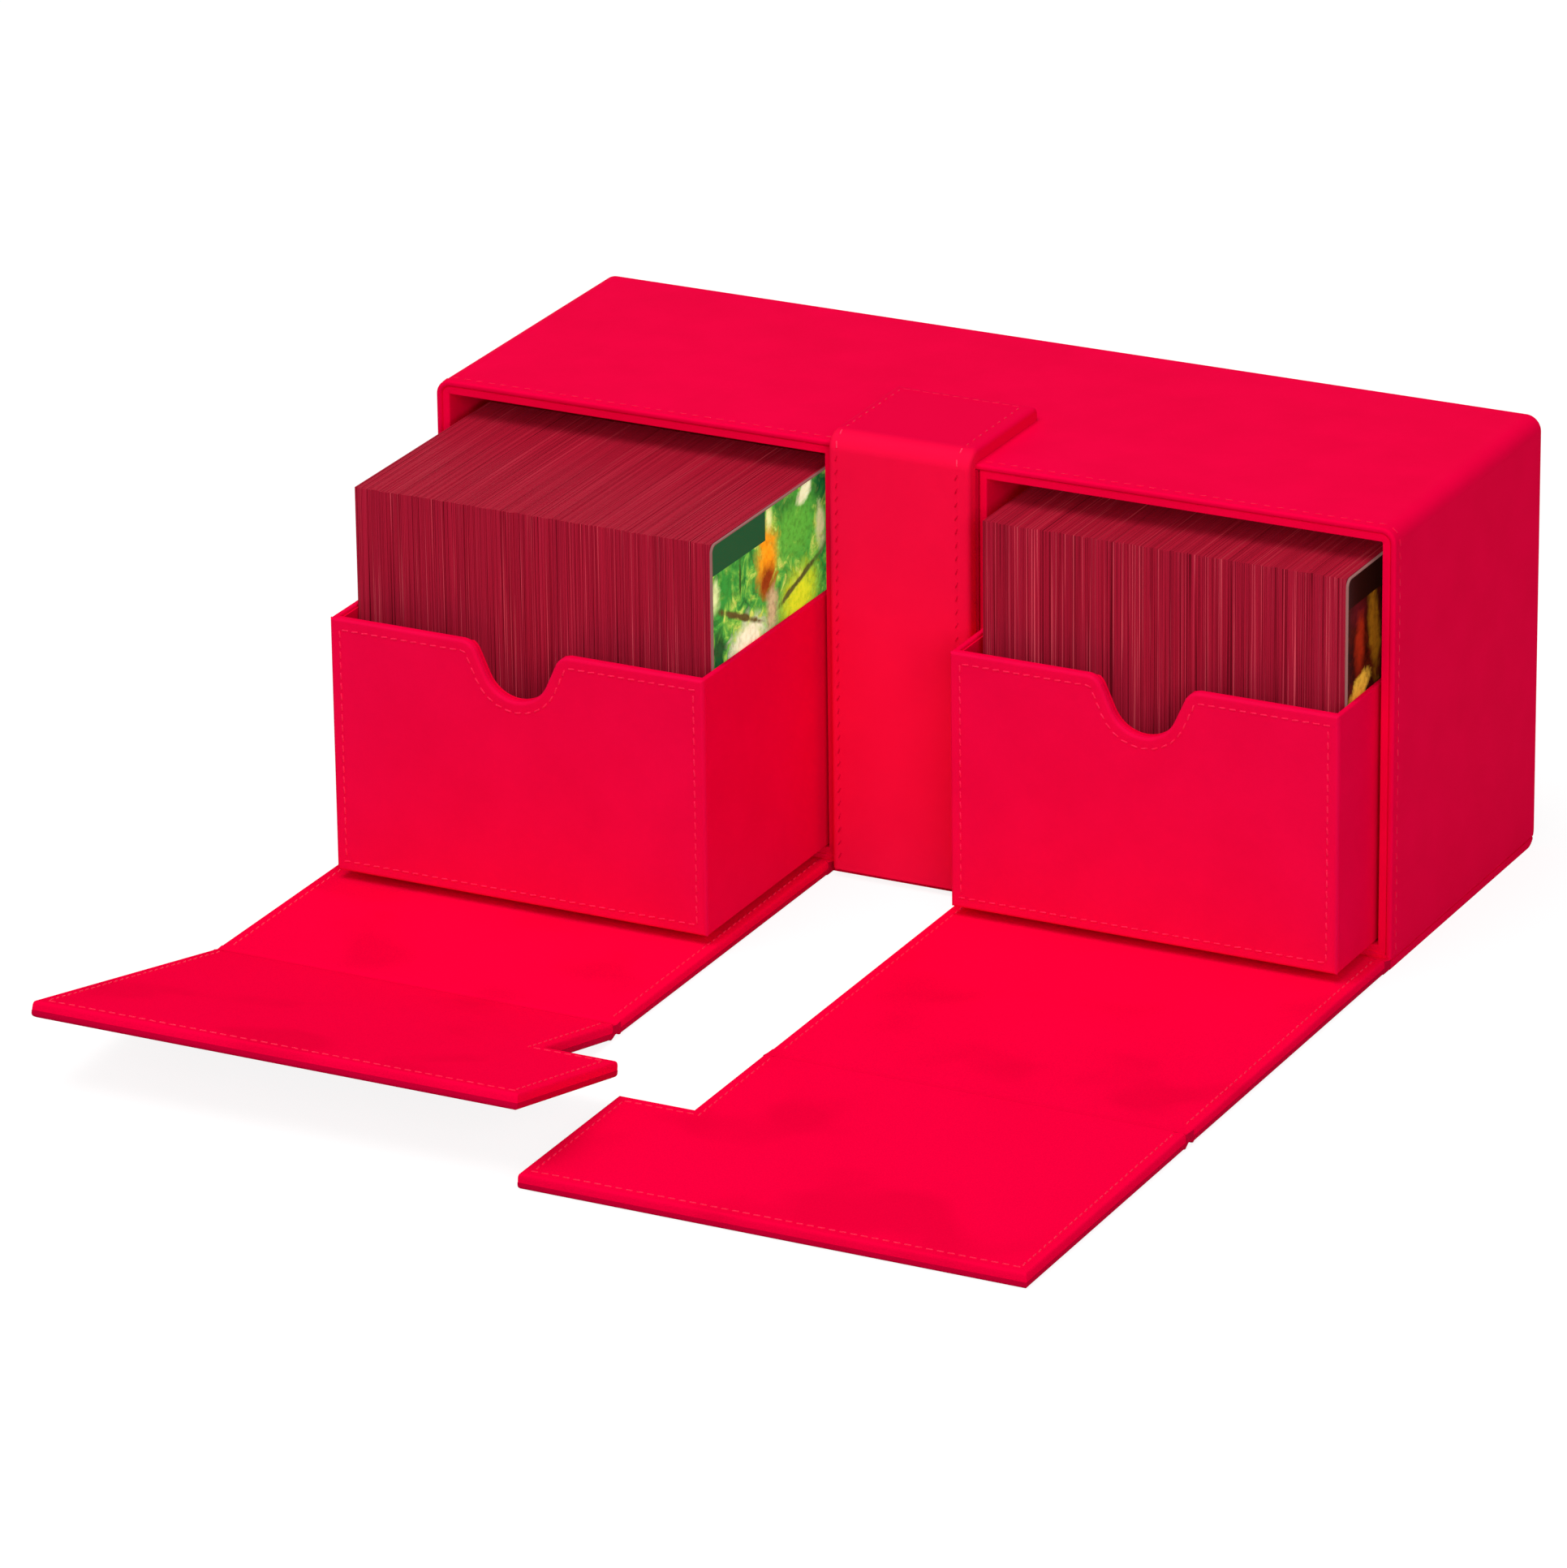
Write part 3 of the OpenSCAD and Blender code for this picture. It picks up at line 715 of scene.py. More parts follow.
# %% Pillar cap
# The cap gets the darker skin, with painted shade.
cap = block("pillar_cap", (0.1 - pillar_half, front_y + 0.05, case_top - case_wall - 0.7),
            (pillar_half - 0.1, front_y + 2, case_top - case_wall + 0.1))
finished(cap, shaded_skin_finish, "case", "skin")

# %% [markdown]
# ## The centre band
# A padded strap covers the pillar and bends back over the top edge. It is drawn once from the
# side, with its round bend and its round end, and pulled across. Its end lies 3 mm further back
# than in the frame, as measured in the photograph. Its long outer edges are rounded, so they get a
# generous bevel, and a shallow furrow runs where the thread pulls the skin down. The furrow is cut
# with bisects, because it has to follow the bend.

# %% Band
band_half = band_high[0]
band_further, bend_r, end_r, seam_in = 3, 4.5, 1.8, 2.6
band_y, band_top, band_end_y = band_low[1], band_high[2], band_high[1] + band_further
seam_x = {"left": 2.1 - band_half, "right": band_half - 3.4}


def arc(centre, radius, start, end, steps):
    """Points along an arc, with angles in degrees."""
    turns = [math.radians(start + (end - start) * i / steps) for i in range(steps + 1)]
    return [(centre[0] + radius * math.cos(t), centre[1] + radius * math.sin(t)) for t in turns]


band_bend = arc((band_y + bend_r, band_top - bend_r), bend_r, 180, 90, 10)
band_tip = arc((band_end_y - end_r, band_top - end_r), end_r, 90, 0, 6)
band_side = [(band_y, case_bottom + 0.1), *band_bend, *band_tip, (band_end_y, case_top + 0.02),
             (front_y - 0.02, case_top + 0.02), (front_y - 0.02, case_bottom + 0.1)]
band = drawn("centre_band", [(-band_half, y, z) for y, z in band_side])
solid(x=2 * band_half)
choose("EDGE", lambda at, along: near(abs(at.x), band_half) and abs(along.x) < 0.1
       and (at.y < front_y - 0.1 or at.z > case_top + 0.2))
bevel(1.1, 4)
for x in seam_x.values():
    for shift in (-0.45, 0, 0.45):
        bpy.ops.mesh.select_all(action="SELECT")
        bpy.ops.mesh.bisect(plane_co=((x + shift) * MM, 0, 0), plane_no=(1, 0, 0))
choose("EDGE", lambda at, along: any(near(at.x, x) for x in seam_x.values())
       and abs(along.x) < 0.1 and (at.y < front_y - 0.5 or at.z > case_top + 0.5))
bpy.ops.transform.shrink_fatten(value=-0.14 * MM)
finished(band, band_finish, "case", "skin", "band_cover", angle=50)

# %% [markdown]
# The band is sewn down both sides and across its end. Down the front the stitches lie slanted, and
# over the bend and on the flat end they lie nearly straight. The thread's colour changes too, with
# painted shade down the front and a painted highlight over the bend, so each side is three seams,
# which meet at the ends of the bend.

# %% Band seams
front, top, back = Vector((0, -1, 0)), Vector((0, 0, 1)), Vector((0, 1, 0))
sink = 0.1
for side, sign in SIDES.items():
    x = seam_x[side]
    bend_stops = [(Vector((x, y + (sink if i < 5 else 0), z - (sink if i > 5 else 0))),
                   front.lerp(top, i / 10).normalized()) for i, (y, z) in enumerate(band_bend)]
    stops = [(Vector((x, band_y + sink, case_bottom + 2)), front), bend_stops[0]]
    seam("band_seam_" + side, stops, "case", yarn=band_shade_thread, pitch=3.3, lean=(-34, -18))
    seam("band_bend_seam_" + side, bend_stops, "case", yarn=bend_highlight_thread, pitch=3.3)
    stops = [bend_stops[-1], (Vector((x, band_end_y - seam_in, band_top - sink)), top)]
    seam("band_top_seam_" + side, stops, "case", yarn=case_thread, pitch=3.3)
stops = [(Vector((x, band_end_y - seam_in, band_top - 0.07)), top) for x in seam_x.values()]
seam("band_seam_end", stops, "case", yarn=case_thread)

# %% [markdown]
# A single seam runs up each side of the case and along its top to the band, just behind the front
# edge, where it would hold the turned-in skin.

# %% Case seams
seam_back = front_y + 2.4
for side, sign in SIDES.items():
    out = Vector((sign, 0, 0))
    middle = (side_x - top_radius, case_top - top_radius)
    corner = arc(middle, top_radius, 0, 90, 6)
    stops = [(Vector((sign * side_x, seam_back, case_bottom + 1.5)), out)]
    stops += [(Vector((sign * x, seam_back, z)), out.lerp(top, i / 6).normalized())
              for i, (x, z) in enumerate(corner)]
    stops += [(Vector((sign * (band_half + 0.8), seam_back, case_top)), top)]
    seam("case_seam_" + side, stops, "case", yarn=case_thread, pitch=3.2)

# %% [markdown]
# ## Fronts and lids
# A front and a lid are made alike: greyboard in a shallow leatherette pan, with the suede lining
# drawn over its edge and down to the pan's rim, and a seam along the outer sides. They are drawn
# thicker than in the frame, the fronts by 0.4 mm and the lids by 0.7 mm, to match the photograph.
# The suede turns down in a few small insets, each steeper towards the edge, because a single bevel
# would look like moulded plastic. The outline is drawn with the right-hand numbers and mirrored by
# its sign. The lid is L-shaped, because its wing has to reach behind the end of the centre band.
# The stiffness of its fold holds the left lid a little off the table, so its pieces are turned
# about the fold before they are finished.

# %% Panel maker
panel_t = place_of("front_cover_right")[1][2]
fold_joint = next(j for j in frame["joints"] if j["name"] == "right_lid_hinge")
pivot_z, fold_y = [round(fold_joint["pos_m"][i] / MM, 3) for i in (2, 1)]
tilts = {"left": 12.5, "right": 0.0}
plump_t = {"front": panel_t + 0.4, "lid": panel_t + 0.7}
pan_turn, pan_rim, pan_hollow = 0.95, 1.75, 1.25
suede_foot, suede_turn, suede_t, suede_in = 1.7, 2.05, 0.65, 0.06
pan_steps = ((0.1, 0.4), (0.3, 0.33), (0.5, 0.2))
rim_steps = ((0.03, 0.45), (0.09, 0.28), (0.18, 0.18), (0.3, 0.09))


def raised(side):
    """Returns what turns a flat lid up about its fold to where it rests."""
    def turn(piece):
        begin()
        piece.select_set(True)
        bpy.context.view_layer.objects.active = piece
        bpy.ops.object.mode_set(mode="EDIT")
        bpy.ops.mesh.select_all(action="SELECT")
        bpy.ops.transform.rotate(value=math.radians(tilts[side]), orient_axis="X",
                                 center_override=(0, fold_y * MM, pivot_z * MM))
        begin()
    return turn if tilts[side] else None


def panel(kind, side, corners, cuts, path, turn=None):
    """Makes a cover, its lining and their seam from right-hand corners on the table."""
    sign, body, thick = SIDES[side], f"{kind}_{side}", plump_t[kind]
    outline = [Vector((sign * x, y)) for x, y in corners]
    cover = drawn(f"{kind}_skin_{side}", [(*p, pan_turn) for p in outline])
    solid(z=pan_rim - pan_turn)
    choose("FACE", lambda at, facing: near(at.z, pan_turn))
    for width, drop in pan_steps:
        inset(width, drop)
    choose("FACE", lambda at, facing: near(at.z, pan_rim) and facing.z > 0.9)
    inset(0.08, 0.05)
    inset(0.35)
    pull(z=-pan_hollow)
    for y, away in cuts:
        trim((0, y, 0), (0, away, 0))
    if turn:
        turn(cover)
    # The cover gets the darker skin, with painted shade on its thin edges.
    finished(cover, shaded_skin_finish, body, "skin", f"{kind}_cover_{side}")

    lining = drawn(f"{kind}_suede_{side}",
                   [(*p, suede_foot) for p in pushed_in(outline, suede_in)])
    solid(z=suede_turn - suede_foot)
    choose("FACE", lambda at, facing: near(at.z, suede_foot))
    inset(0.45)
    pull(z=thick - suede_t - suede_foot)
    choose("FACE", lambda at, facing: near(at.z, suede_turn) and facing.z > 0.9)
    for width, share in rim_steps:
        inset(width, share * (thick - suede_turn))
    rim = suede_in + sum(width for width, share in rim_steps)
    furrow(seam_in - rim, 1.6, 0.12)
    for y, away in cuts:
        trim((0, y, 0), (0, away, 0))
    if turn:
        turn(lining)
    finished(lining, suede_finish, body, "lining", f"{kind}_lining_{side}")

    for number, line in enumerate(path, 1):
        stops = [(Vector((sign * x, y, thick - 0.06)), top) for x, y in line]
        seam(f"{kind}_seam_{side}_{number}", stops, body, turn, lining_thread)


# %% Fronts and lids
front_in, front_end = place_of("front_cover_right")[0][:2]
front_foot = place_of("front_cover_right")[1][1]
lid_in, lid_free = place_of("lid_cover_right")[0][:2]
lid_foot = place_of("lid_cover_right")[1][1]
fold_to_wing, spare = 34.5, 6
wing_y = fold_y - fold_to_wing
seam_out, seam_near = side_x - seam_in, front_in + seam_in
for side in SIDES:
    front_path = [[(x, front_foot - 1), (x, front_end + 1)] for x in (seam_near, seam_out)]
    panel("front", side, [(front_in, front_foot + spare), (side_x, front_foot + spare),
                          (side_x, front_end - spare), (front_in, front_end - spare)],
          [(front_foot, 1), (front_end, -1)], front_path)
    lid_path = [[(seam_out, lid_foot - 1), (seam_out, lid_free + seam_in),
                 (lid_in + seam_in, lid_free + seam_in), (lid_in + seam_in, wing_y - seam_in),
                 (seam_near, wing_y - seam_in), (seam_near, lid_foot - 1)]]
    panel("lid", side, [(front_in, lid_foot + spare), (side_x, lid_foot + spare),
                        (side_x, lid_free), (lid_in, lid_free), (lid_in, wing_y),
                        (front_in, wing_y)], [(lid_foot, 1)], lid_path, raised(side))

# %% [markdown]
# ## Soft hinges
# Between board and board the skin and the lining are glued to each other, and that strip is the
# hinge. It has to bend when a front or a lid turns, so each one is a strip of many narrow faces; here
# it is finished where it lies and rides on no body. The fold next to a lid dips a little, above and
# below.

# %% Hinge maker
def soft_strip(name, stations, x_in, sign):
    """A strip from (y, low, high) stations, with suede above and skin elsewhere."""
    side_line = [(y, low) for y, low, high in stations] + \
                [(y, high) for y, low, high in reversed(stations)]
    strip = drawn(name, [(sign * x_in, y, z) for y, z in side_line])
    solid(x=sign * (side_x - 0.04 - x_in))
    choose("EDGE", lambda at, along: abs(along.x) < 0.1 and abs(along.z) < 0.7 and at.z > 2)
    bevel(0.5, 4)
    choose("EDGE", lambda at, along: abs(along.x) < 0.1 and abs(along.z) < 0.7 and at.z < 1.2)
    bevel(0.5, 3)
    return strip


def hinge(name, strip, node):
    """Finishes a hinge strip, with suede on its upward faces and skin elsewhere."""
    # The hinge's skin faces get the darker skin, with painted shade.
    finished(strip, shaded_skin_finish, None, "skin", node, angle=70)
    strip.data.materials.append(suede_finish)
    for face in strip.data.polygons:
        if face.normal.z > 0.5:
            face.material_index = 1
    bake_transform(strip)


def smooth(t):
    """A share from 0 to 1 with a soft start and end."""
    t = min(1, max(0, t))
    return t * t * (3 - 2 * t)


for side, sign in SIDES.items():
    stations = []
    for i in range(9):
        y = front_y + 0.05 - i / 8 * (front_y - front_foot + 0.1)
        rise = smooth(i / 8) * (plump_t["front"] - panel_t + 0.37)
        stations.append((y, 0.03, panel_t - 0.35 + rise))
    strip = soft_strip("foot_fold_" + side, stations, front_in + 0.04, sign)
    hinge("foot_fold_" + side, strip, "foot_hinge_" + side)

    stations = []
    for i in range(15):
        y = front_end + 0.05 - i / 14 * (front_end - lid_foot + 0.1)
        dip = math.sin(math.pi * i / 14) ** 1.5
        high = plump_t["front"] + (plump_t["lid"] - plump_t["front"]) * i / 14
        stations.append((y, 0.03 + 0.95 * dip, high + 0.02 - 0.08 * dip))
    strip = soft_strip("lid_fold_" + side, stations, front_in + 0.04, sign)
    form = bmesh.from_edit_mesh(strip.data)
    for corner in form.verts:
        part = smooth((front_end - corner.co.y / MM) / (front_end - lid_foot))
        turn = Matrix.Rotation(math.radians(-tilts[side] * part), 4, "X")
        pivot = Vector((0, fold_y, pivot_z)) * MM
        corner.co = turn @ (corner.co - pivot) + pivot
    bmesh.update_edit_mesh(strip.data)
    hinge("lid_fold_" + side, strip, "fold_hinge_" + side)

# %% [markdown]
# ## Trays
# A tray is a board box wrapped in skin, with a stitched facing on its front and a thumb notch
# cut through facing, board and lining alike. The notch is the hardest line on the box: a round
# bottom and two round shoulders, joined by the straight lines that touch both. Its outline is
# worked out once, a little wider and 1.5 mm deeper than the frame's, as the photograph shows it.
# The facing is drawn with it. The box and the lining are hollow before they get it, so it is cut
# out of their front walls by a Boolean.

# %% The thumb notch
tray_low, tray_high = place_of("tray_facing_right")
tray_out = {side: front_y - place_of("tray_facing_" + side)[0][1] for side in SIDES}
tray_half, tray_foot, tray_rim = (tray_high[0] - tray_low[0]) / 2, tray_low[2], tray_high[2]
bay_x = (tray_high[0] + tray_low[0]) / 2
tray_back = place_of("tray_wrap_right")[1][1] - tray_low[1]
facing_t, tray_wall = tray_high[1] - tray_low[1], 1.5
notch_w, notch_depth, notch_r, shoulder_r = 28.6, 13.2, 8.7, 4.2

shoulder = Vector((notch_w / 2, -shoulder_r))
bottom = Vector((0, notch_r - notch_depth))
reach = shoulder - bottom
slope = math.degrees(math.atan2(reach.y, reach.x)
                     - math.acos((notch_r + shoulder_r) / reach.length))
notch = [*arc(shoulder, shoulder_r, 90, 180 + slope, 10),
         *arc(bottom, notch_r, slope, -180 - slope, 16),
         *arc((-shoulder.x, shoulder.y), shoulder_r, -slope, 90, 10)]
print(f"notch: {notch_w} x {notch_depth} mm, {len(notch)} points")


def notch_cutter(middle, y0, y1):
    """A prism of the notch, for cutting a wall between y0 and y1."""
    line = [(x, z) for x, z in notch]
    line = [(line[0][0], 3), *line, (line[-1][0], 3)]
    cutter = drawn("notch_cutter", [(middle + x, y0, tray_rim + z) for x, z in line])
    solid(y=y1 - y0)
    begin()
    return cutter


def cut_notch(piece, middle, y0, y1):
    """Cuts the notch out of a piece, between y0 and y1."""
    cutter = notch_cutter(middle, y0, y1)
    apply_modifier(piece, "BOOLEAN", object=cutter, operation="DIFFERENCE", solver="EXACT")
    bpy.data.objects.remove(cutter)


# %% Tray box
def open_tray(name, low, high, wall, floor):
    """A block with its top opened down to a floor."""
    box = block(name, low, high)
    choose("FACE", lambda at, facing: facing.z > 0.9)
    inset(wall)
    pull(z=floor - high[2])
    outwards()
    return box


for side, sign in SIDES.items():
    middle, y = sign * bay_x, front_y - tray_out[side]
    body = "tray_" + side
    low = (middle - tray_half, y + facing_t, tray_foot)
    high = (middle + tray_half, y + tray_back, tray_rim)
    wrap = open_tray("tray_skin_" + side, low, high, tray_wall, tray_foot + tray_wall)
    choose("EDGE", lambda at, along: abs(along.z) > 0.9 and near(at.y, high[1]))
    bevel(1.2, 4)
    cut_notch(wrap, middle, y - 1, y + 8)
    apply_modifier(wrap, "BEVEL", width=0.45 * MM, segments=3, limit_method="ANGLE",
                   angle_limit=math.radians(50))
    finished(wrap, skin_finish, body, "skin", "tray_wrap_" + side, "tray_shell_" + side)

    inner = tray_wall + 0.02
    lining = open_tray("tray_suede_" + side,
                       (low[0] + inner, low[1] + inner, low[2] + inner),
                       (high[0] - inner, high[1] - inner, high[2] - 0.7), 0.4,
                       tray_foot + tray_wall + 0.4)
    cut_notch(lining, middle, y - 1, y + 8)
    finished(lining, suede_finish, body, "lining", "tray_lining_" + side)

# %% [markdown]
# The facing is a separate stitched plate, a millimetre thick. Its own rounded edges catch the
# light as a thin line all round the front, and the tray's side starts behind them.

# %% Tray facings
notch_line = [Vector((x, tray_rim + z)) for x, z in notch]
for side, sign in SIDES.items():
    middle, y = sign * bay_x, front_y - tray_out[side]
    line = [Vector((tray_half, tray_foot)), Vector((tray_half, tray_rim)), *notch_line,
            Vector((-tray_half, tray_rim)), Vector((-tray_half, tray_foot))]
    facing = drawn("tray_facing_plate_" + side, [(middle + p.x, y, p.y) for p in line])
    solid(y=facing_t - 0.02)
    choose("FACE", lambda at, turned: near(at.y, y) and abs(turned.y) > 0.9)
    bpy.ops.mesh.region_to_loop()
    bevel(0.75, 5)
    choose("FACE", lambda at, turned: near(at.y, y) and abs(turned.y) > 0.99)
    furrow(seam_in - 0.75, 1.1, 0.13)
    choose("FACE", lambda at, turned: near(at.y, y + facing_t - 0.02) and abs(turned.y) > 0.9)
    bpy.ops.mesh.region_to_loop()
    bevel(0.12, 2)
    finished(facing, facing_finish, "tray_" + side, "skin", "tray_facing_" + side)
    path = [Vector((middle + p.x, y + 0.1, p.y)) for p in pushed_in(line, seam_in)]
    seam("tray_seam_" + side, [(p, front) for p in path + path[:1]], "tray_" + side)

# %% [markdown]
# ## Sleeved cards
# Each tray is taken to hold a hundred double-sleeved cards. From the front, a row of them is
# hundreds of fine upright lines, because each card shows its own edge and the films on both sides
# of it. So each card is three thin sheets, each copied from one square-cornered sheet, a little out
# of line with its neighbours and with air between them. A striped block would have no such edge
# along its top, where the sheets step up and down. The right row has 1.7 mm of free room at its
# left end.

# %% One sheet
face_low, face_high = place_of("face_card_right")
deck_y = face_low[1] - tray_low[1]
deck_foot = face_low[2]
row_start = place_of("card_deck_right")[0][0] - bay_x
row_end = face_low[0] - bay_x
cards_in_row, sheets_per_card = 100, 3
sheet_pitch = (row_end - row_start) / (cards_in_row * sheets_per_card)
slack = {"left": 0, "right": 1.7}

sheet = drawn("sheet_pattern", [(0, 0, 0), (0, card_y, 0), (0, card_y, card_z), (0, 0, card_z)])
solid(x=1)
begin()
print("one sheet:", len(sheet.data.polygons), "faces,", round(sheet_pitch, 3), "mm apart")

# %% Rows of cards
for side, sign in SIDES.items():
    dice = random.Random("cards " + side)
    copies, back, lift = [], 0.25, 0.15
    spread = 1 - slack[side] / (row_end - row_start)
    for number in range(cards_in_row * sheets_per_card):
        if number % sheets_per_card == 0:
            if dice.random() < 0.3:
                back, lift = dice.uniform(0, 0.5), dice.uniform(0.08, 0.16)
            card_back, card_lift = back + dice.uniform(-0.1, 0.1), lift + dice.uniform(-0.04, 0.04)
        thick = sheet_pitch * spread * dice.uniform(0.6, 0.97)
        x = sign * bay_x + row_start + slack[side] + number * sheet_pitch * spread
        y = front_y - tray_out[side] + deck_y + max(0, card_back + dice.uniform(-0.12, 0.12))
        z = deck_foot + card_lift + dice.uniform(-0.04, 0.04)
        copy = sheet.copy()
        copy.data = sheet.data.copy()
        copy.data.transform(Matrix.Translation(Vector((x, y, z)) * MM)
                            @ Matrix.Diagonal((thick, 1, 1, 1)))
        bpy.context.collection.objects.link(copy)
        copies.append(copy)
    begin()
    for copy in copies:
        copy.select_set(True)
    bpy.context.view_layer.objects.active = copies[0]
    bpy.ops.object.join()
    row = bpy.context.object
    row.name = "card_row_" + side
    finished(row, sleeves_finish, "tray_" + side, "card_sleeves", "card_deck_" + side,
             turn_out=False)

# %% [markdown]
# The picture card is drawn as a square, its corners are rounded, and it is pulled to the thickness
# of a card in its sleeve. Its ovals are written from the card's front edge and down from its top,
# with their half sizes, lean, blur and colour. They could be painted as an image, but then the
# script would need a file of its own.

# %% Picture cards
pictures = {
    "left": ([(0.35, "#1f7a34"), (0.48, "#3fa843"), (0.58, "#7cc84a"), (0.68, "#c6e46a")], [
        (38, 3, 6, 3, 0, 0.5, "#12702f"), (56, 4, 6, 5, 0, 0.5, "#0c5e30"),
        (43, 10, 11, 7, 0, 0.6, "#58b840"), (6, 12, 6, 5, 0, 0.6, "#2c9a3c"),
        (47, 2.5, 3.6, 2, 20, 0.3, "#eaffce"), (29, 3, 1.6, 3, 0, 0.4, "#dcf8a4"),
        (55, 13, 2.2, 5, 0, 0.4, "#cfe2a0"), (44, 27, 8, 6, 10, 0.5, "#cdf02c"),
        (18, 29, 8, 5, 0, 0.4, "#efffd8"), (1, 13, 2.6, 3.4, 0, 0.4, "#d4f4a8"),
        (2.5, 28, 3, 5, 0, 0.4, "#165a2e"), (28, 12, 4.6, 7, 0, 0.5, "#f4a61c"),
        (28, 18, 3.4, 3.4, 0, 0.5, "#8a3f16"), (30, 26, 2.6, 5, 0, 0.5, "#bfb888"),
        (44, 23, 11, 0.9, 17, 0.3, "#55622e"), (14, 22, 11, 0.9, -24, 0.3, "#5a5a2e"),
        (14, 13, 0.5, 4, 0, 0.4, "#2c5a26")], (27, 7.6, "#0b5230")),
    "right": ([(0.4, "#1c0503"), (0.6, "#3c0d06"), (0.75, "#5c1c08")], [
        (15, 17, 3, 9.5, 8, 0.4, "#84530f"),
        (6, 10, 4, 3.4, 0, 0.5, "#4c0e14"), (7, 18, 2.4, 6.5, 0, 0.5, "#8c220e"),
        (7, 28.5, 6.5, 2.6, 25, 0.3, "#c89a34")], (20, 7.4, "#1a0805")),
}
for side, sign in SIDES.items():
    x = sign * bay_x + row_end + 0.04
    y = front_y - tray_out[side] + deck_y
    card = drawn("picture_card_" + side, [(x, y, deck_foot), (x, y + card_y, deck_foot),
                                          (x, y + card_y, deck_foot + card_z),
                                          (x, y, deck_foot + card_z)])
    bpy.ops.mesh.select_all(action="SELECT")
    bevel(card_corner, 6, "VERTICES")
    solid(x=face_high[0] - face_low[0] - 0.04)
    finish = picture("printed_card_" + side, (y, deck_foot), *pictures[side])
    finished(card, finish, "tray_" + side, "face_card_" + side, "face_card_" + side)

for pattern in (stitch, sheet):
    bpy.data.objects.remove(pattern)

# %% [markdown]
# ## The pieces that stay as the frame has them
# Boards, the pillar and the magnets already have the right shape. They keep their CAD meshes and
# only get their materials.

# %% Materials for the CAD pieces
# The pillar gets the darker skin, with painted shade.
kept = {"case_shell": board_finish, "back_board": board_finish, "band_core": board_finish,
        "centre_pillar": shaded_skin_finish, "case_magnets": magnet_finish}
for side in SIDES:
    kept.update({f"front_board_{side}": board_finish, f"lid_board_{side}": board_finish,
                 f"lid_magnets_{side}": magnet_finish})
for name, finish in kept.items():
    slots = frame["nodes"][name].data.materials
    slots.clear()
    slots.append(finish)
print("kept from the frame:", ", ".join(sorted(kept)))

# %% [markdown]
# ## Floor, light and camera
# In the photograph the box stands on plain white in soft light. Two large lamps stand for it here:
# one high in front, a little to the left, which lights the top and the fronts, and a weaker one on
# the right. The light that bounces off the floor finds an ordinary pale surface there. The camera
# and any mirroring see it brighter, so that it comes out white while it still shows the box's soft
# shadow. More light would do that too, but it would bleach the box.

# %% Floor
begin()
bpy.ops.mesh.primitive_plane_add(size=8)
floor = bpy.context.object
floor.name = "floor"
floor_finish = bpy.data.materials.new("white_backdrop")
floor_finish.use_nodes = True
tree = floor_finish.node_tree
tree.nodes.clear()
rays = add(tree, "LightPath")
paper = add(tree, "BsdfDiffuse", {"Color": linear("#d0d0d0")})
shown = add(tree, "BsdfDiffuse", {"Color": linear("#7c7c7c")})
glow = add(tree, "Emission", {"Color": (1, 1, 1, 1), "Strength": 0.88})
lit = add(tree, "AddShader", {0: shown.outputs[0], 1: glow.outputs[0]})
seen = add(tree, "Math", {0: rays.outputs["Is Camera Ray"], 1: rays.outputs["Is Glossy Ray"]},
           operation="MAXIMUM")
seen = add(tree, "Math", {0: seen.outputs[0], 1: rays.outputs["Is Transmission Ray"]},
           operation="MAXIMUM")
choice = add(tree, "MixShader", {0: seen.outputs[0], 1: paper.outputs[0], 2: lit.outputs[0]})
add(tree, "OutputMaterial", {"Surface": choice.outputs[0]})
floor.data.materials.append(floor_finish)

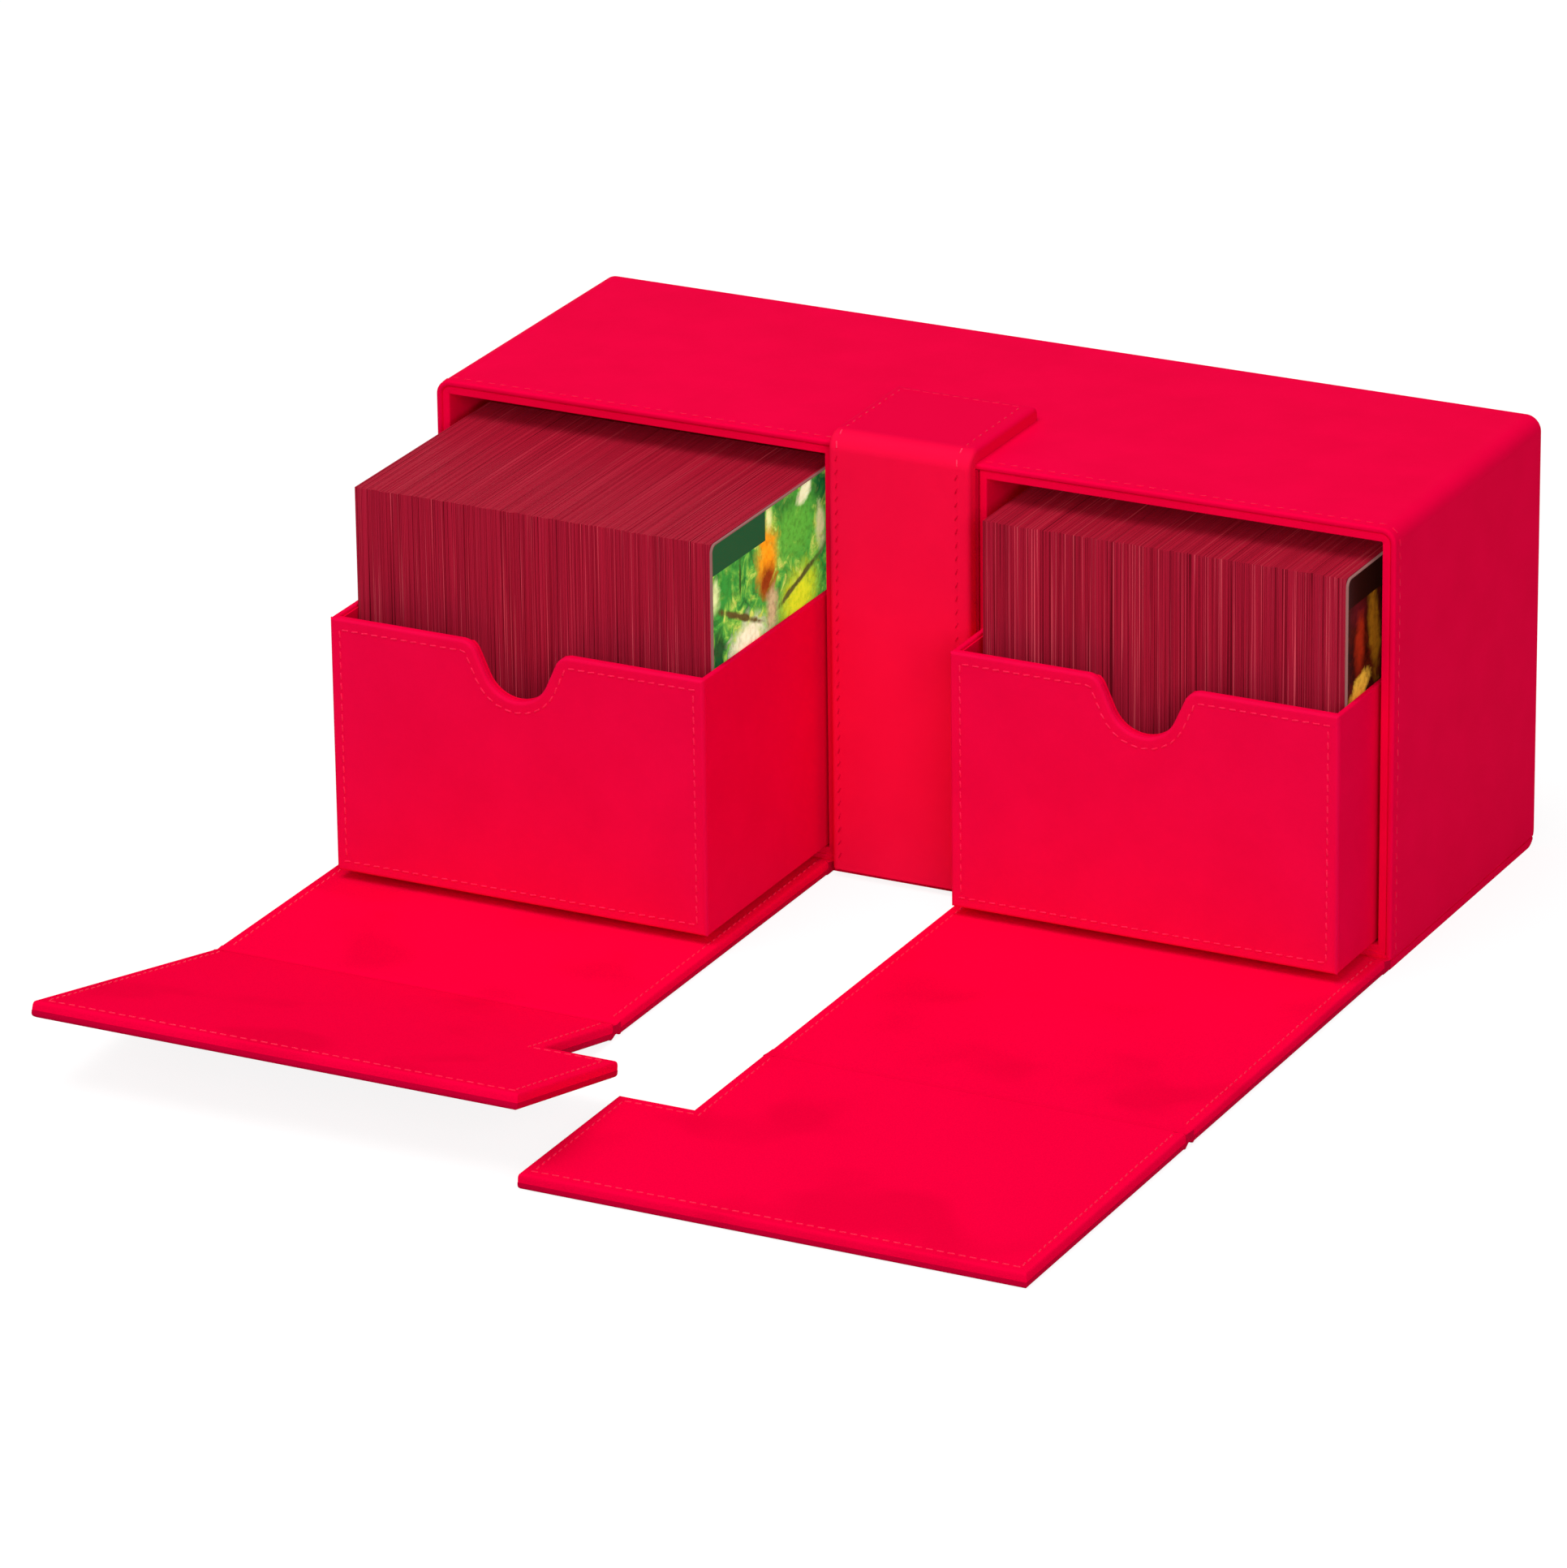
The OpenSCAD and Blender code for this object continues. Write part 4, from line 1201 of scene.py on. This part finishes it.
# %% World and lamps
world = bpy.data.worlds.new("studio")
bpy.context.scene.world = world
world.use_nodes = True
tree = world.node_tree
tree.nodes.clear()
rays = add(tree, "LightPath")
seen = add(tree, "Math", {0: rays.outputs["Is Camera Ray"], 1: rays.outputs["Is Glossy Ray"]},
           operation="MAXIMUM")
seen = add(tree, "Math", {0: seen.outputs[0], 1: rays.outputs["Is Transmission Ray"]},
           operation="MAXIMUM")
soft = add(tree, "Background", {"Color": (1, 1, 1, 1), "Strength": 0.34})
white = add(tree, "Background", {"Color": (1, 1, 1, 1), "Strength": 1.0})
choice = add(tree, "MixShader", {0: seen.outputs[0], 1: soft.outputs[0], 2: white.outputs[0]})
add(tree, "OutputWorld", {"Surface": choice.outputs[0]})


def lamp(name, place, aim, size, power):
    """A square area lamp at a place in metres, turned towards a point."""
    begin()
    bpy.ops.object.light_add(type="AREA", location=place)
    made = bpy.context.object
    made.name = name
    made.data.size = size
    made.data.energy = power
    made.rotation_euler = (Vector(aim) - Vector(place)).to_track_quat("-Z", "Y").to_euler()


lamp("key_lamp", (-0.26, -0.64, 1.76), (0, -0.05, 0.05), 1.2, 21.3)
lamp("fill_lamp", (1.30, -1.50, 0.76), (0, -0.05, 0.05), 1.0, 12.8)
print("floor, world and lamps are set")

# %% [markdown]
# The camera stands where the photograph was taken from: far back with a long lens, so the box's
# edges stay almost parallel. Its numbers come from fitting the box's corners to the photograph.

# %% Camera
look_at = Vector((-32.63, -43.0, 19.84))
azimuth, elevation, roll = (math.radians(a) for a in (27.030, 21.659, -0.723))
distance, focal, image_w, image_h = 2289.85, 11916.26, 1931, 1932

away = Vector((math.sin(azimuth) * math.cos(elevation),
               -math.cos(azimuth) * math.cos(elevation), math.sin(elevation)))
level = (-away).cross(Vector((0, 0, 1))).normalized()
upright = level.cross(-away)
level, upright = (level * math.cos(roll) + upright * math.sin(roll),
                  upright * math.cos(roll) - level * math.sin(roll))
begin()
bpy.ops.object.camera_add()
camera = bpy.context.object
camera.matrix_world = (Matrix.Translation((look_at + away * distance) * MM)
                       @ Matrix((level, upright, away)).transposed().to_4x4())
camera.data.sensor_width = 36
camera.data.lens = focal / max(image_w, image_h) * camera.data.sensor_width
camera.data.clip_end = 100
bpy.context.scene.camera = camera
bpy.context.scene.view_settings.view_transform = "Standard"
print(f"lens {camera.data.lens:.1f} mm at {distance / 1000:.2f} m")

# %% Dropping the selection
begin()
